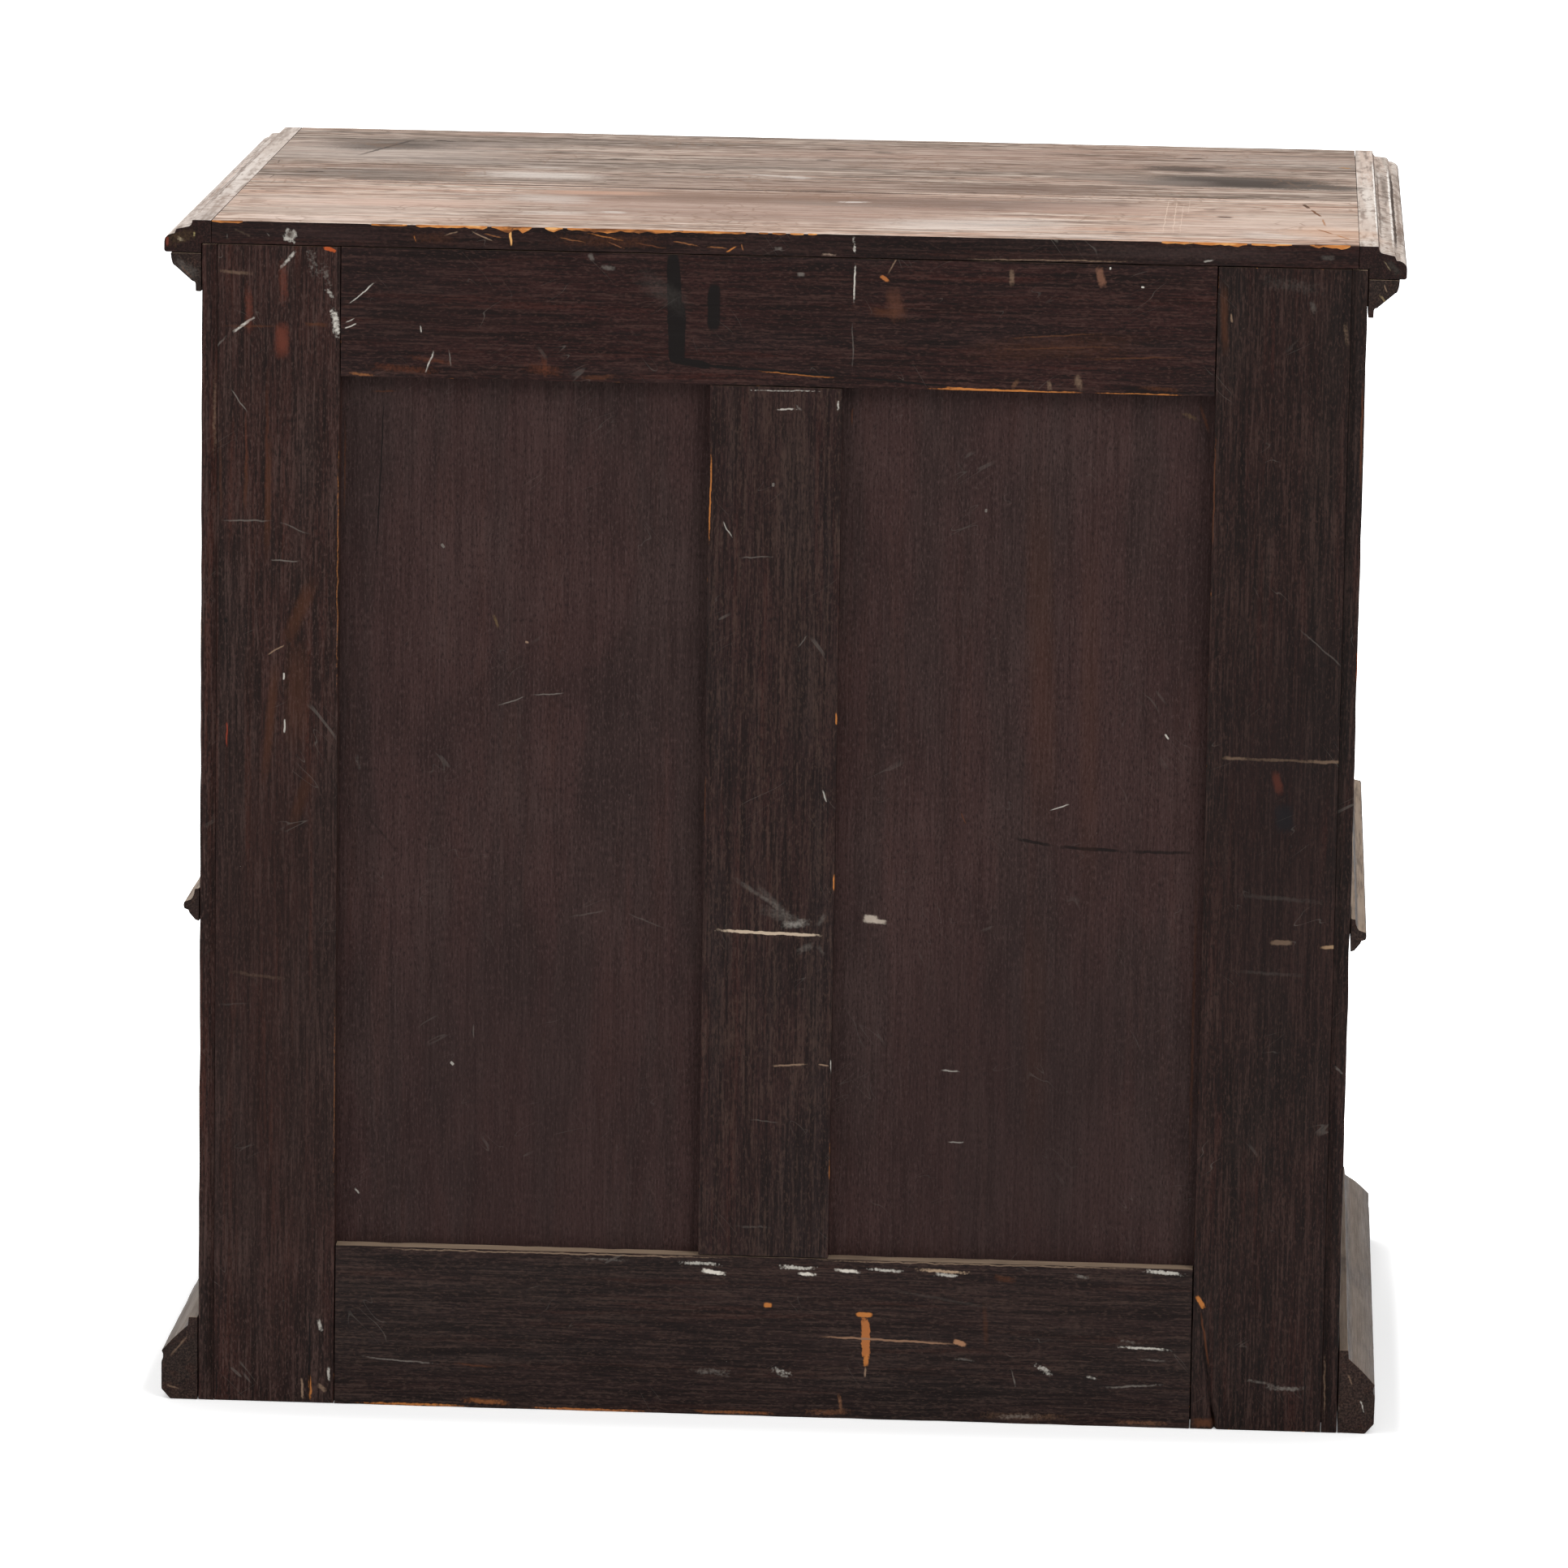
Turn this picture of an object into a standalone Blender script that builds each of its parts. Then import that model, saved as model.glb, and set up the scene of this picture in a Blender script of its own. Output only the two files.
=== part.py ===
"""Spool cabinet: a dark stained case with a panelled back and sides, and six drawers on side runners.

Metres, +Z up. The drawers face -Y and the panelled back faces +Y. The origin is on the floor, in the
middle of the footprint. "left" and "right" are as seen by someone who stands at the drawers.
"""
import math

import bmesh
import bpy
from mathutils import Matrix, Vector

# Driving sizes of the whole cabinet
case_width = 0.732            # across the two side walls
case_depth = 0.515            # from the back face to the face of the front posts
cabinet_height = 0.764
edge_projection = 0.024       # how far the top and the base stand out from the case
joint_gap = 0.0003            # between pieces that touch
overrun = 0.010               # how far a cutter runs past what it cuts
arris = 0.0008                # worn edge of a board

# Top: two planks, with a moulded strip over each end
plank_thickness = 0.015
back_plank_depth = 0.228
strip_lap = 0.006             # how far an end strip lies over the side wall
edge_cove_width = 0.0030
edge_cove_drop = 0.0043
edge_shelf_width = 0.0072
edge_shelf_fall = 0.0015
edge_quirk_width = 0.0013
edge_quirk_drop = 0.0028
edge_ovolo_width = 0.0065
edge_ovolo_drop = 0.0056
edge_nose_height = 0.0050
edge_under_round = 0.0015

# Cornice below the top, from its upper edge down
cornice_width = 0.0199
cornice_round_width = 0.0028
cornice_round_drop = 0.0085
cornice_bevel_width = 0.0111
cornice_bevel_drop = 0.0094
cornice_hollow_width = 0.0020
cornice_hollow_drop = 0.0015
cornice_fillet_height = 0.0050

# Waist moulding, from its upper edge down
waist_top = 0.3359
waist_wash_width = 0.0032
waist_wash_fall = 0.0006
waist_cove_width = 0.0041
waist_cove_drop = 0.0074
waist_shelf_width = 0.0025
waist_shelf_fall = 0.0009
waist_nose_bulge = 0.0006
waist_nose_height = 0.0047
waist_step_in = 0.0025
waist_step_drop = 0.0009
waist_band_in = 0.0007
waist_band_height = 0.0018
waist_bevel_in = 0.0037
waist_bevel_drop = 0.0044
waist_foot_in = 0.0025
waist_foot_drop = 0.0009

# Base moulding and plinth, from the floor up
plinth_chamfer_width = 0.0060
plinth_chamfer_height = 0.0065
plinth_height = 0.0260
plinth_round_width = 0.0010
plinth_round_height = 0.0020
base_groove_in = 0.0012
base_groove_height = 0.0038
base_nose_out = 0.0010
base_nose_height = 0.0020
base_slope_width = 0.0172
base_slope_height = 0.0173
base_slope_bulge = 0.0008
base_fillet_in = 0.0004
base_fillet_height = 0.0056

# Frames and panels
groove_depth = 0.008
panel_thickness = 0.008
panel_play = 0.001            # room for a panel to swell, at each edge
tenon_shoulder = 0.003        # how far a tenon's cheek lies inside its bar
back_frame_thickness = 0.024
back_recess = 0.012
right_back_stile_width = 0.0775
left_back_stile_width = 0.0835
back_muntin_width = 0.0835
back_top_rail_height = 0.082
back_bottom_rail_height = 0.105
side_thickness = 0.020
side_recess = 0.006
side_lip = 0.010              # edge of the side wall that laps the back frame
rear_stile_width = 0.060
post_width = 0.040
post_depth = 0.045
side_top_rail_height = 0.070
side_middle_rail_height = 0.070
side_bottom_rail_height = 0.085
field_margin = 0.004
field_slope_width = 0.024
field_rise = 0.004

# Rails that the front mouldings are worked on
front_rail_depth = 0.030

# Drawers and their runners
upper_drawer_count = 4
lower_drawer_count = 2
drawer_reveal = 0.0015        # gap round a drawer front, above and below
drawer_side_play = 0.001
drawer_back_play = 0.004
front_thickness = 0.020
front_arris = 0.0022
front_field_margin = 0.013
front_field_slope = 0.0022
front_field_depth = 0.0016
box_wall = 0.010
box_bottom = 0.007
box_headroom = 0.003
partition_thickness = 0.006
partition_drop = 0.014        # how far a partition stops below the box's rim
partition_count = 3
runner_ledge_width = 0.012
runner_ledge_height = 0.012
runner_board_low = 0.020

# Turned knobs
knob_place_share = 0.62       # of the half width between the posts
knob_projection = 0.0215
knob_ball_radius = 0.0115
knob_ball_half_height = 0.0070
knob_neck_radius = 0.0045
knob_neck_flare = 0.0020
knob_plate_radius = 0.0128
knob_plate_thickness = 0.0022
knob_plate_round = 0.0006
knob_stem_radius = 0.0030
knob_stem_length = 0.0140
knob_hole_spare = 0.0015
knob_steps = 16
ball_low_angle = -math.radians(66)
ball_steps = 8
hole_steps = 12

# Finishes: colour, roughness, metallic
dark_stain = ((0.030, 0.018, 0.016), 0.48, 0.0)
faded_top = ((0.230, 0.165, 0.140), 0.55, 0.0)
panel_stain = ((0.036, 0.022, 0.021), 0.55, 0.0)
drawer_wood = ((0.360, 0.230, 0.120), 0.60, 0.0)
runner_wood = ((0.300, 0.200, 0.110), 0.65, 0.0)
old_brass = ((0.480, 0.330, 0.120), 0.38, 1.0)

# Places that follow from the sizes
half_width = case_width / 2
back_y = (case_depth + edge_projection) / 2
face_y = back_y - case_depth
case_top = cabinet_height - plank_thickness
edge_thickness = (edge_cove_drop + edge_shelf_fall + edge_quirk_drop + edge_ovolo_drop
                  + edge_nose_height + edge_under_round)
cornice_top = cabinet_height - edge_thickness - joint_gap
cornice_height = cornice_round_drop + cornice_bevel_drop + cornice_hollow_drop + cornice_fillet_height
cornice_low = cornice_top - cornice_height
waist_height = (waist_wash_fall + waist_cove_drop + waist_shelf_fall + waist_nose_height
                + waist_step_drop + waist_band_height + waist_bevel_drop + waist_foot_drop)
waist_low = waist_top - waist_height
base_top = (plinth_height + base_groove_height + base_nose_height + base_slope_height
            + base_fillet_height)
rear_inner_y = back_y - back_frame_thickness
bay_half_width = half_width - post_width

for old in list(bpy.data.objects):
    bpy.data.objects.remove(old, do_unlink=True)
parts = bpy.data.collections.new("spool_cabinet")
cutters = bpy.data.collections.new("cutters")
bpy.context.scene.collection.children.link(parts)
bpy.context.scene.collection.children.link(cutters)


def add_object(name, bm, finish=None):
    """Turn a bmesh into an object: a part with its own material, or a cutter when it has no finish."""
    bmesh.ops.recalc_face_normals(bm, faces=bm.faces)
    mesh = bpy.data.meshes.new(name)
    bm.to_mesh(mesh)
    bm.free()
    piece = bpy.data.objects.new(name, mesh)
    if finish is None:
        cutters.objects.link(piece)
        piece.hide_render = True
        piece.display_type = "WIRE"
        return piece
    parts.objects.link(piece)
    colour, roughness, metallic = finish
    material = bpy.data.materials.new(name + "_finish")
    material.use_nodes = True
    shader = material.node_tree.nodes["Principled BSDF"]
    shader.inputs["Base Color"].default_value = (*colour, 1.0)
    shader.inputs["Roughness"].default_value = roughness
    shader.inputs["Metallic"].default_value = metallic
    mesh.materials.append(material)
    return piece


def block(x_span, y_span, z_span):
    """A box between two values on each axis."""
    bm = bmesh.new()
    bmesh.ops.create_cube(bm, size=1.0)
    spans = [sorted(x_span), sorted(y_span), sorted(z_span)]
    size = Vector([high - low for low, high in spans])
    centre = Vector([(high + low) / 2 for low, high in spans])
    bmesh.ops.scale(bm, vec=size, verts=bm.verts)
    bmesh.ops.translate(bm, vec=centre, verts=bm.verts)
    return bm


def extrusion(outline, axis, low, high):
    """An outline, drawn on the two other axes in their X, Y, Z order, extruded along an axis."""
    bm = bmesh.new()
    corners = []
    for first, second in outline:
        point = [first, second]
        point.insert(axis, low)
        corners.append(bm.verts.new(point))
    face = bm.faces.new(corners)
    grown = bmesh.ops.extrude_face_region(bm, geom=[face])
    shift = Vector((0.0, 0.0, 0.0))
    shift[axis] = high - low
    moved = [item for item in grown["geom"] if isinstance(item, bmesh.types.BMVert)]
    bmesh.ops.translate(bm, vec=shift, verts=moved)
    return bm


def trim(bm, point, away):
    """Saw off what lies beyond a plane, on the side that away points to, and close the cut."""
    everything = list(bm.verts) + list(bm.edges) + list(bm.faces)
    cut = bmesh.ops.bisect_plane(bm, geom=everything, plane_co=point, plane_no=away, clear_outer=True)
    rim = [item for item in cut["geom_cut"] if isinstance(item, bmesh.types.BMEdge)]
    bmesh.ops.contextual_create(bm, geom=rim)


def soften(piece, width, segments=1):
    """Break the sharp edges of a board."""
    bevel = piece.modifiers.new("Worn edges", "BEVEL")
    bevel.width = width
    bevel.segments = segments
    bevel.limit_method = "ANGLE"
    return piece


def combine(piece, tool, operation):
    """Cut a piece by another solid, or join them."""
    boolean = piece.modifiers.new(operation.title(), "BOOLEAN")
    boolean.operation = operation
    boolean.object = tool
    return piece


def quarter(start, end, upright, steps):
    """Points of a quarter ellipse after start, leaving it upright or level."""
    points = []
    for step in range(1, steps + 1):
        angle = math.pi / 2 * step / steps
        across, down = math.sin(angle), 1 - math.cos(angle)
        if upright:
            across, down = down, across
        points.append((start[0] + (end[0] - start[0]) * across, start[1] + (end[1] - start[1]) * down))
    return points


def bowed(start, end, bulge, steps):
    """Points after start on a shallow arc that stands out by bulge from the straight line to end."""
    along = Vector(end) - Vector(start)
    out = Vector((along.y, -along.x)).normalized()
    points = []
    for step in range(1, steps + 1):
        share = step / steps
        point = Vector(start) + along * share + out * bulge * math.sin(math.pi * share)
        points.append((point.x, point.y))
    return points


def edge_curve():
    """Worked edge of the top, as distance out from the case and height, from the flat to the underside."""
    out = edge_projection - edge_cove_width - edge_shelf_width - edge_quirk_width - edge_ovolo_width
    flat = (out, cabinet_height)
    cove = (flat[0] + edge_cove_width, flat[1] - edge_cove_drop)
    shelf = (cove[0] + edge_shelf_width, cove[1] - edge_shelf_fall)
    quirk = (shelf[0] + edge_quirk_width, shelf[1] - edge_quirk_drop)
    nose = (quirk[0] + edge_ovolo_width, quirk[1] - edge_ovolo_drop)
    nose_foot = (nose[0], nose[1] - edge_nose_height)
    under = (nose[0] - edge_under_round, nose_foot[1] - edge_under_round)
    points = [flat] + quarter(flat, cove, True, 4) + [shelf, quirk]
    points += quarter(quirk, nose, False, 6) + [nose_foot]
    return points + quarter(nose_foot, under, True, 2)


def edge_outline(inner):
    """Section of a top board with the worked edge, from its inner edge, rebated over the case."""
    seat = case_top + joint_gap
    lip = cabinet_height - edge_thickness
    return [(inner, cabinet_height)] + edge_curve() + [(joint_gap, lip), (joint_gap, seat), (inner, seat)]


def cornice_curve():
    """Cornice section from its upper outer corner to the foot of its lower fillet."""
    top = (cornice_width, cornice_top)
    shoulder = (top[0] - cornice_round_width, top[1] - cornice_round_drop)
    hollow = (shoulder[0] - cornice_bevel_width, shoulder[1] - cornice_bevel_drop)
    fillet = (hollow[0] - cornice_hollow_width, hollow[1] - cornice_hollow_drop)
    points = [top] + quarter(top, shoulder, True, 5) + [hollow]
    return points + quarter(hollow, fillet, False, 2) + [(fillet[0], cornice_low)]


def waist_curve(wall):
    """Waist moulding section from the wall at its upper edge back to the wall at its lower edge."""
    wash = (waist_wash_width, waist_top - waist_wash_fall)
    cove = (wash[0] + waist_cove_width, wash[1] - waist_cove_drop)
    shelf = (cove[0] + waist_shelf_width, cove[1] - waist_shelf_fall)
    nose = (shelf[0], shelf[1] - waist_nose_height)
    step = (nose[0] - waist_step_in, nose[1] - waist_step_drop)
    band = (step[0] - waist_band_in, step[1] - waist_band_height)
    bevel = (band[0] - waist_bevel_in, band[1] - waist_bevel_drop)
    foot = (bevel[0] - waist_foot_in, waist_low)
    points = [(wall, waist_top), wash] + quarter(wash, cove, True, 4) + [shelf]
    points += bowed(nose, shelf, waist_nose_bulge, 5)[-2::-1] + [nose, step, band, bevel, foot]
    return points + [(wall, waist_low)]


def base_curve(wall):
    """Base moulding section from the wall at its upper edge down over the plinth to the floor."""
    plinth = edge_projection
    slope_top_out = plinth - base_groove_in + base_nose_out - base_slope_width
    fillet = (slope_top_out - base_fillet_in, base_top)
    slope_top = (slope_top_out, base_top - base_fillet_height)
    nose = (slope_top[0] + base_slope_width, slope_top[1] - base_slope_height)
    groove = (plinth - base_groove_in, nose[1] - base_nose_height)
    ledge = (plinth - plinth_round_width, groove[1] - base_groove_height)
    face = (plinth, ledge[1] - plinth_round_height)
    chamfer = (plinth, plinth_chamfer_height)
    floor = (plinth - plinth_chamfer_width, 0.0)
    points = [(wall, base_top), fillet] + bowed(nose, slope_top, base_slope_bulge, 5)[-1::-1]
    points += [nose, groove, ledge] + quarter(ledge, face, False, 2)
    return points + [chamfer, floor, (wall, 0.0)]


def side_moulding(name, outline, side):
    """A moulding on a side wall, square at the back and mitred at the front corner."""
    front = face_y - edge_projection - overrun
    placed = [(side * (half_width + out), height) for out, height in outline]
    bm = extrusion(placed, 1, back_y, front)
    away = Vector((-side, -1.0, 0.0)).normalized()
    corner = Vector((side * half_width, face_y, 0.0))
    trim(bm, corner - away * joint_gap / 2, away)
    return add_object(name, bm, dark_stain)


def front_moulding(name, outline):
    """A moulding across the front, worked on a rail that fits between the posts, mitred at both ends."""
    reach = half_width + edge_projection + overrun
    placed = [(face_y - out, height) for out, height in outline]
    bm = extrusion(placed, 0, -reach, reach)
    for side in (-1, 1):
        away = Vector((side, 1.0, 0.0)).normalized()
        corner = Vector((side * half_width, face_y, 0.0))
        trim(bm, corner - away * joint_gap / 2, away)
    piece = add_object(name, bm, dark_stain)
    lowest = min(height for out, height in outline)
    highest = max(height for out, height in outline)
    for side in (-1, 1):
        inner = side * (bay_half_width - joint_gap)
        notch = block((inner, side * (half_width + overrun)),
                      (face_y - joint_gap, face_y + front_rail_depth + overrun),
                      (lowest - overrun, highest + overrun))
        combine(piece, add_object(name + "_notch", notch), "DIFFERENCE")
    return piece


def build_top():
    """Two planks with a joint between them, the front one with a worked edge, and two end strips."""
    strip_inner = half_width - strip_lap
    span = (-strip_inner + joint_gap / 2, strip_inner - joint_gap / 2)
    joint_y = back_y - back_plank_depth
    back_plank = block(span, (joint_y + joint_gap / 2, back_y), (case_top + joint_gap, cabinet_height))
    add_object("top_plank_back", back_plank, faded_top)
    inner = face_y - joint_y + joint_gap / 2
    placed = [(face_y - out, height) for out, height in edge_outline(inner)]
    add_object("top_plank_front", extrusion(placed, 0, *span), faded_top)
    front = face_y - edge_projection - overrun
    deep = face_y - back_y - overrun
    for side, label in ((-1, "left"), (1, "right")):
        outline = edge_outline(joint_gap / 2 - strip_lap)
        placed = [(side * (half_width + out), height) for out, height in outline]
        strip = add_object("top_end_" + label, extrusion(placed, 1, back_y, front), faded_top)
        worked = [(deep, cabinet_height + overrun)] + edge_curve() + [(deep, case_top - edge_thickness)]
        placed = [(face_y - out, height) for out, height in worked]
        tool = extrusion(placed, 0, side * (strip_inner - overrun),
                         side * (half_width + edge_projection + overrun))
        combine(strip, add_object("top_end_tool_" + label, tool), "INTERSECT")


def build_mouldings():
    """Cornice, waist and base mouldings round three sides."""
    cornice_side = [(joint_gap, cornice_top)] + cornice_curve() + [(joint_gap, cornice_low)]
    cornice_front = [(-front_rail_depth, case_top), (0.0, case_top), (0.0, cornice_top)]
    cornice_front += cornice_curve() + [(-front_rail_depth, cornice_low)]
    waist_front = [(-front_rail_depth, waist_top)] + waist_curve(0.0)[1:-1]
    waist_front += [(-front_rail_depth, waist_low)]
    base_front = [(-front_rail_depth, base_top)] + base_curve(0.0)[1:-1] + [(-front_rail_depth, 0.0)]
    for side, label in ((-1, "left"), (1, "right")):
        side_moulding("cornice_" + label, cornice_side, side)
        side_moulding("waist_moulding_" + label, waist_curve(joint_gap), side)
        side_moulding("base_moulding_" + label, base_curve(joint_gap), side)
    front_moulding("cornice_front", cornice_front)
    front_moulding("waist_moulding_front", waist_front)
    front_moulding("base_moulding_front", base_front)


def grooved_outline(across, grooved, thick, groove):
    """Section of a stile or rail of a panelled frame, as points of width and thickness.

    across is the span of its width, grooved says which of its two edges hold a panel, thick is the span
    of its thickness, and groove the place of the groove in that thickness.
    """
    low, high = across
    near, far = thick
    outline = [(low, near), (high, near)]
    if grooved[1]:
        outline += [(high, groove[0]), (high - groove_depth, groove[0])]
        outline += [(high - groove_depth, groove[1]), (high, groove[1])]
    outline += [(high, far), (low, far)]
    if grooved[0]:
        outline += [(low, groove[1]), (low + groove_depth, groove[1])]
        outline += [(low + groove_depth, groove[0]), (low, groove[0])]
    return outline


def swapped(outline):
    """The same outline with its two coordinates changed over."""
    return [(second, first) for first, second in outline]


def tenon_cheeks(across, grooved):
    """Width of a tenon, kept inside the grooves of its own bar."""
    shoulder = groove_depth + tenon_shoulder
    low = across[0] + (shoulder if grooved[0] else tenon_shoulder)
    high = across[1] - (shoulder if grooved[1] else tenon_shoulder)
    return (low, high)


def build_back():
    """The back: stiles, rails and a muntin round two plain recessed panels."""
    face = back_y
    inside = rear_inner_y
    panel_y = (face - back_recess - panel_thickness, face - back_recess)
    groove_y = (panel_y[0] - joint_gap, panel_y[1] + joint_gap)
    outer = half_width - side_lip - joint_gap
    openings = {-1: -(outer - left_back_stile_width), 1: outer - right_back_stile_width}
    middle = (openings[-1] + openings[1]) / 2
    rail_low = case_top - back_top_rail_height
    rail_high = back_bottom_rail_height

    for side, label in ((-1, "left"), (1, "right")):
        across = sorted((side * outer, openings[side]))
        outline = grooved_outline(across, (side > 0, side < 0), (inside, face), groove_y)
        add_object("back_stile_" + label, extrusion(outline, 2, 0.0, case_top), dark_stain)

    span = (openings[-1] + joint_gap, openings[1] - joint_gap)
    tongue = groove_depth - joint_gap
    for name, heights, grooved in (("back_top_rail", (rail_low, case_top), (True, False)),
                                   ("back_bottom_rail", (0.0, rail_high), (False, True))):
        outline = grooved_outline(heights, grooved, (inside, face), groove_y)
        rail = add_object(name, extrusion(swapped(outline), 0, *span), dark_stain)
        tenon = block((span[0] - tongue, span[1] + tongue), panel_y, tenon_cheeks(heights, grooved))
        combine(rail, add_object(name + "_tenon", tenon), "UNION")

    muntin_span = (rail_high + joint_gap, rail_low - joint_gap)
    across = (middle - back_muntin_width / 2, middle + back_muntin_width / 2)
    outline = grooved_outline(across, (True, True), (inside, face), groove_y)
    muntin = add_object("back_muntin", extrusion(outline, 2, *muntin_span), dark_stain)
    tenon = block(tenon_cheeks(across, (True, True)), panel_y,
                  (muntin_span[0] - tongue, muntin_span[1] + tongue))
    combine(muntin, add_object("back_muntin_tenon", tenon), "UNION")

    reach = groove_depth - panel_play
    heights = (rail_high - reach, rail_low + reach)
    for side, label in ((-1, "left"), (1, "right")):
        inner = across[0] if side < 0 else across[1]
        panel = block((openings[side] + side * reach, inner - side * reach), panel_y, heights)
        add_object("back_panel_" + label, panel, panel_stain)


def build_sides():
    """Side walls: front post, rear stile, three rails and two fielded panels each."""
    outside = half_width
    inside = half_width - side_thickness
    panel_x = (outside - side_recess - panel_thickness, outside - side_recess)
    groove_x = (panel_x[0] - joint_gap, panel_x[1] + joint_gap)
    post_back = face_y + post_depth
    stile_front = back_y - rear_stile_width
    rebate_y = rear_inner_y - joint_gap
    waist_middle = (waist_top + waist_low) / 2
    middle_rail = (waist_middle - side_middle_rail_height / 2, waist_middle + side_middle_rail_height / 2)
    rails = (("top", (case_top - side_top_rail_height, case_top), (True, False)),
             ("middle", middle_rail, (True, True)),
             ("bottom", (0.0, side_bottom_rail_height), (False, True)))
    bays = (("upper", middle_rail[1], case_top - side_top_rail_height),
            ("lower", side_bottom_rail_height, middle_rail[0]))
    span = (post_back + joint_gap, stile_front - joint_gap)
    tongue = groove_depth - joint_gap
    reach = groove_depth - panel_play

    for side, label in ((-1, "left"), (1, "right")):
        post = grooved_outline((face_y, post_back), (False, True),
                               (half_width - post_width, outside), groove_x)
        placed = [(side * x, y) for y, x in post]
        front_post = add_object("front_post_" + label, extrusion(placed, 2, 0.0, case_top), dark_stain)
        soften(front_post, arris)

        stile = [(inside, stile_front), (groove_x[0], stile_front)]
        stile += [(groove_x[0], stile_front + groove_depth), (groove_x[1], stile_front + groove_depth)]
        stile += [(groove_x[1], stile_front), (outside, stile_front), (outside, back_y)]
        stile += [(outside - side_lip, back_y), (outside - side_lip, rebate_y), (inside, rebate_y)]
        placed = [(side * x, y) for x, y in stile]
        add_object("side_stile_" + label, extrusion(placed, 2, 0.0, case_top), dark_stain)

        for place, heights, grooved in rails:
            outline = grooved_outline(heights, grooved, (inside, outside), groove_x)
            placed = [(side * x, z) for z, x in outline]
            name = "side_" + place + "_rail_" + label
            rail = add_object(name, extrusion(placed, 1, *span), dark_stain)
            tenon = block([side * x for x in panel_x], (span[0] - tongue, span[1] + tongue),
                          tenon_cheeks(heights, grooved))
            combine(rail, add_object(name + "_tenon", tenon), "UNION")

        for place, low, high in bays:
            panel = fielded_panel([side * x for x in panel_x], (post_back - reach, stile_front + reach),
                                  (low - reach, high + reach), side)
            add_object("side_panel_" + place + "_" + label, panel, panel_stain)


def fielded_panel(x_span, y_span, z_span, side):
    """A panel whose outer face rises from a flat rim, over a slope, to a raised field."""
    bm = block(x_span, y_span, z_span)
    bm.faces.ensure_lookup_table()
    outer = [max(bm.faces, key=lambda face: side * face.calc_center_median().x)]
    rim = groove_depth + field_margin
    bmesh.ops.inset_region(bm, faces=outer, thickness=rim)
    bmesh.ops.inset_region(bm, faces=outer, thickness=field_slope_width, depth=field_rise)
    return bm


def drawer_heights():
    """Lower and upper edge of each drawer front, from the top drawer down."""
    heights = []
    shallow = (upper_drawer_count, waist_top, cornice_low)
    deep = (lower_drawer_count, base_top, waist_low)
    for count, low, high in (shallow, deep):
        pitch = (high - low - drawer_reveal) / count
        for number in range(count):
            top = high - drawer_reveal - pitch * number
            heights.append((top - pitch + drawer_reveal, top))
    return heights


def build_runners():
    """A board against the inside of each side wall, with a ledge below each drawer."""
    inner = bay_half_width
    outer = half_width - side_thickness - joint_gap
    ledge = inner - runner_ledge_width
    for side, label in ((-1, "left"), (1, "right")):
        outline = [(outer, runner_board_low), (outer, cornice_low), (inner, cornice_low)]
        for low, high in drawer_heights():
            seat = low - joint_gap
            outline += [(inner, seat), (ledge, seat)]
            outline += [(ledge, seat - runner_ledge_height), (inner, seat - runner_ledge_height)]
        outline.append((inner, runner_board_low))
        placed = [(side * x, z) for x, z in outline]
        board = extrusion(placed, 1, face_y + post_depth + joint_gap, rear_inner_y - joint_gap)
        add_object("runner_board_" + label, board, runner_wood)


def drawer_front(name, low, high):
    """A drawer front with broken edges and a sunk field on its face."""
    bm = block((-bay_half_width + drawer_side_play, bay_half_width - drawer_side_play),
               (face_y, face_y + front_thickness), (low, high))
    outer = [min(bm.faces, key=lambda face: face.calc_center_median().y)]
    bmesh.ops.bevel(bm, geom=list(outer[0].edges), offset=front_arris, segments=2, profile=0.5,
                    affect="EDGES", clamp_overlap=True)
    outer = [min(bm.faces, key=lambda face: face.calc_center_median().y)]
    bmesh.ops.inset_region(bm, faces=outer, thickness=front_field_margin)
    bmesh.ops.inset_region(bm, faces=outer, thickness=front_field_slope, depth=-front_field_depth)
    return add_object(name, bm, dark_stain)


def drawer_box(name, low, high, partitions):
    """Sides, back and bottom of a drawer, open at the top, and at the front where the drawer front goes."""
    half = bay_half_width - drawer_side_play
    rim = high + drawer_reveal - joint_gap - runner_ledge_height - box_headroom
    front = face_y + front_thickness + joint_gap
    back = rear_inner_y - drawer_back_play
    box = add_object(name, block((-half, half), (front, back), (low, rim)), drawer_wood)
    floor = low + box_bottom
    divider_top = rim - partition_drop
    inner = half - box_wall
    lane = (2 * inner - partitions * partition_thickness) / (partitions + 1)
    outline = [(-inner, rim + overrun), (-inner, floor)]
    for number in range(partitions):
        left = -inner + lane * (number + 1) + partition_thickness * number
        right = left + partition_thickness
        outline += [(left, floor), (left, divider_top), (right, divider_top), (right, floor)]
    outline += [(inner, floor), (inner, rim + overrun)]
    space = extrusion(outline, 1, front - overrun, back - box_wall)
    combine(box, add_object(name + "_space", space), "DIFFERENCE")
    return box


def knob_profile():
    """Outer side of a knob from its crown down to the end of its stem, as radius and height."""
    crown = knob_projection
    centre = crown - knob_ball_half_height
    points = []
    for step in range(ball_steps + 1):
        angle = math.pi / 2 + (ball_low_angle - math.pi / 2) * step / ball_steps
        radius = knob_ball_radius * math.cos(angle) if step else 0.0
        points.append((radius, centre + knob_ball_half_height * math.sin(angle)))
    plate_top = knob_plate_thickness
    points.append((knob_neck_radius, plate_top + knob_neck_flare))
    points.append((knob_neck_radius + knob_neck_flare, plate_top))
    points.append((knob_plate_radius - knob_plate_round, plate_top))
    points.append((knob_plate_radius, plate_top - knob_plate_round))
    points.append((knob_plate_radius, joint_gap))
    points.append((knob_stem_radius, joint_gap))
    points.append((knob_stem_radius, -knob_stem_length))
    points.append((0.0, -knob_stem_length))
    return points


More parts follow.
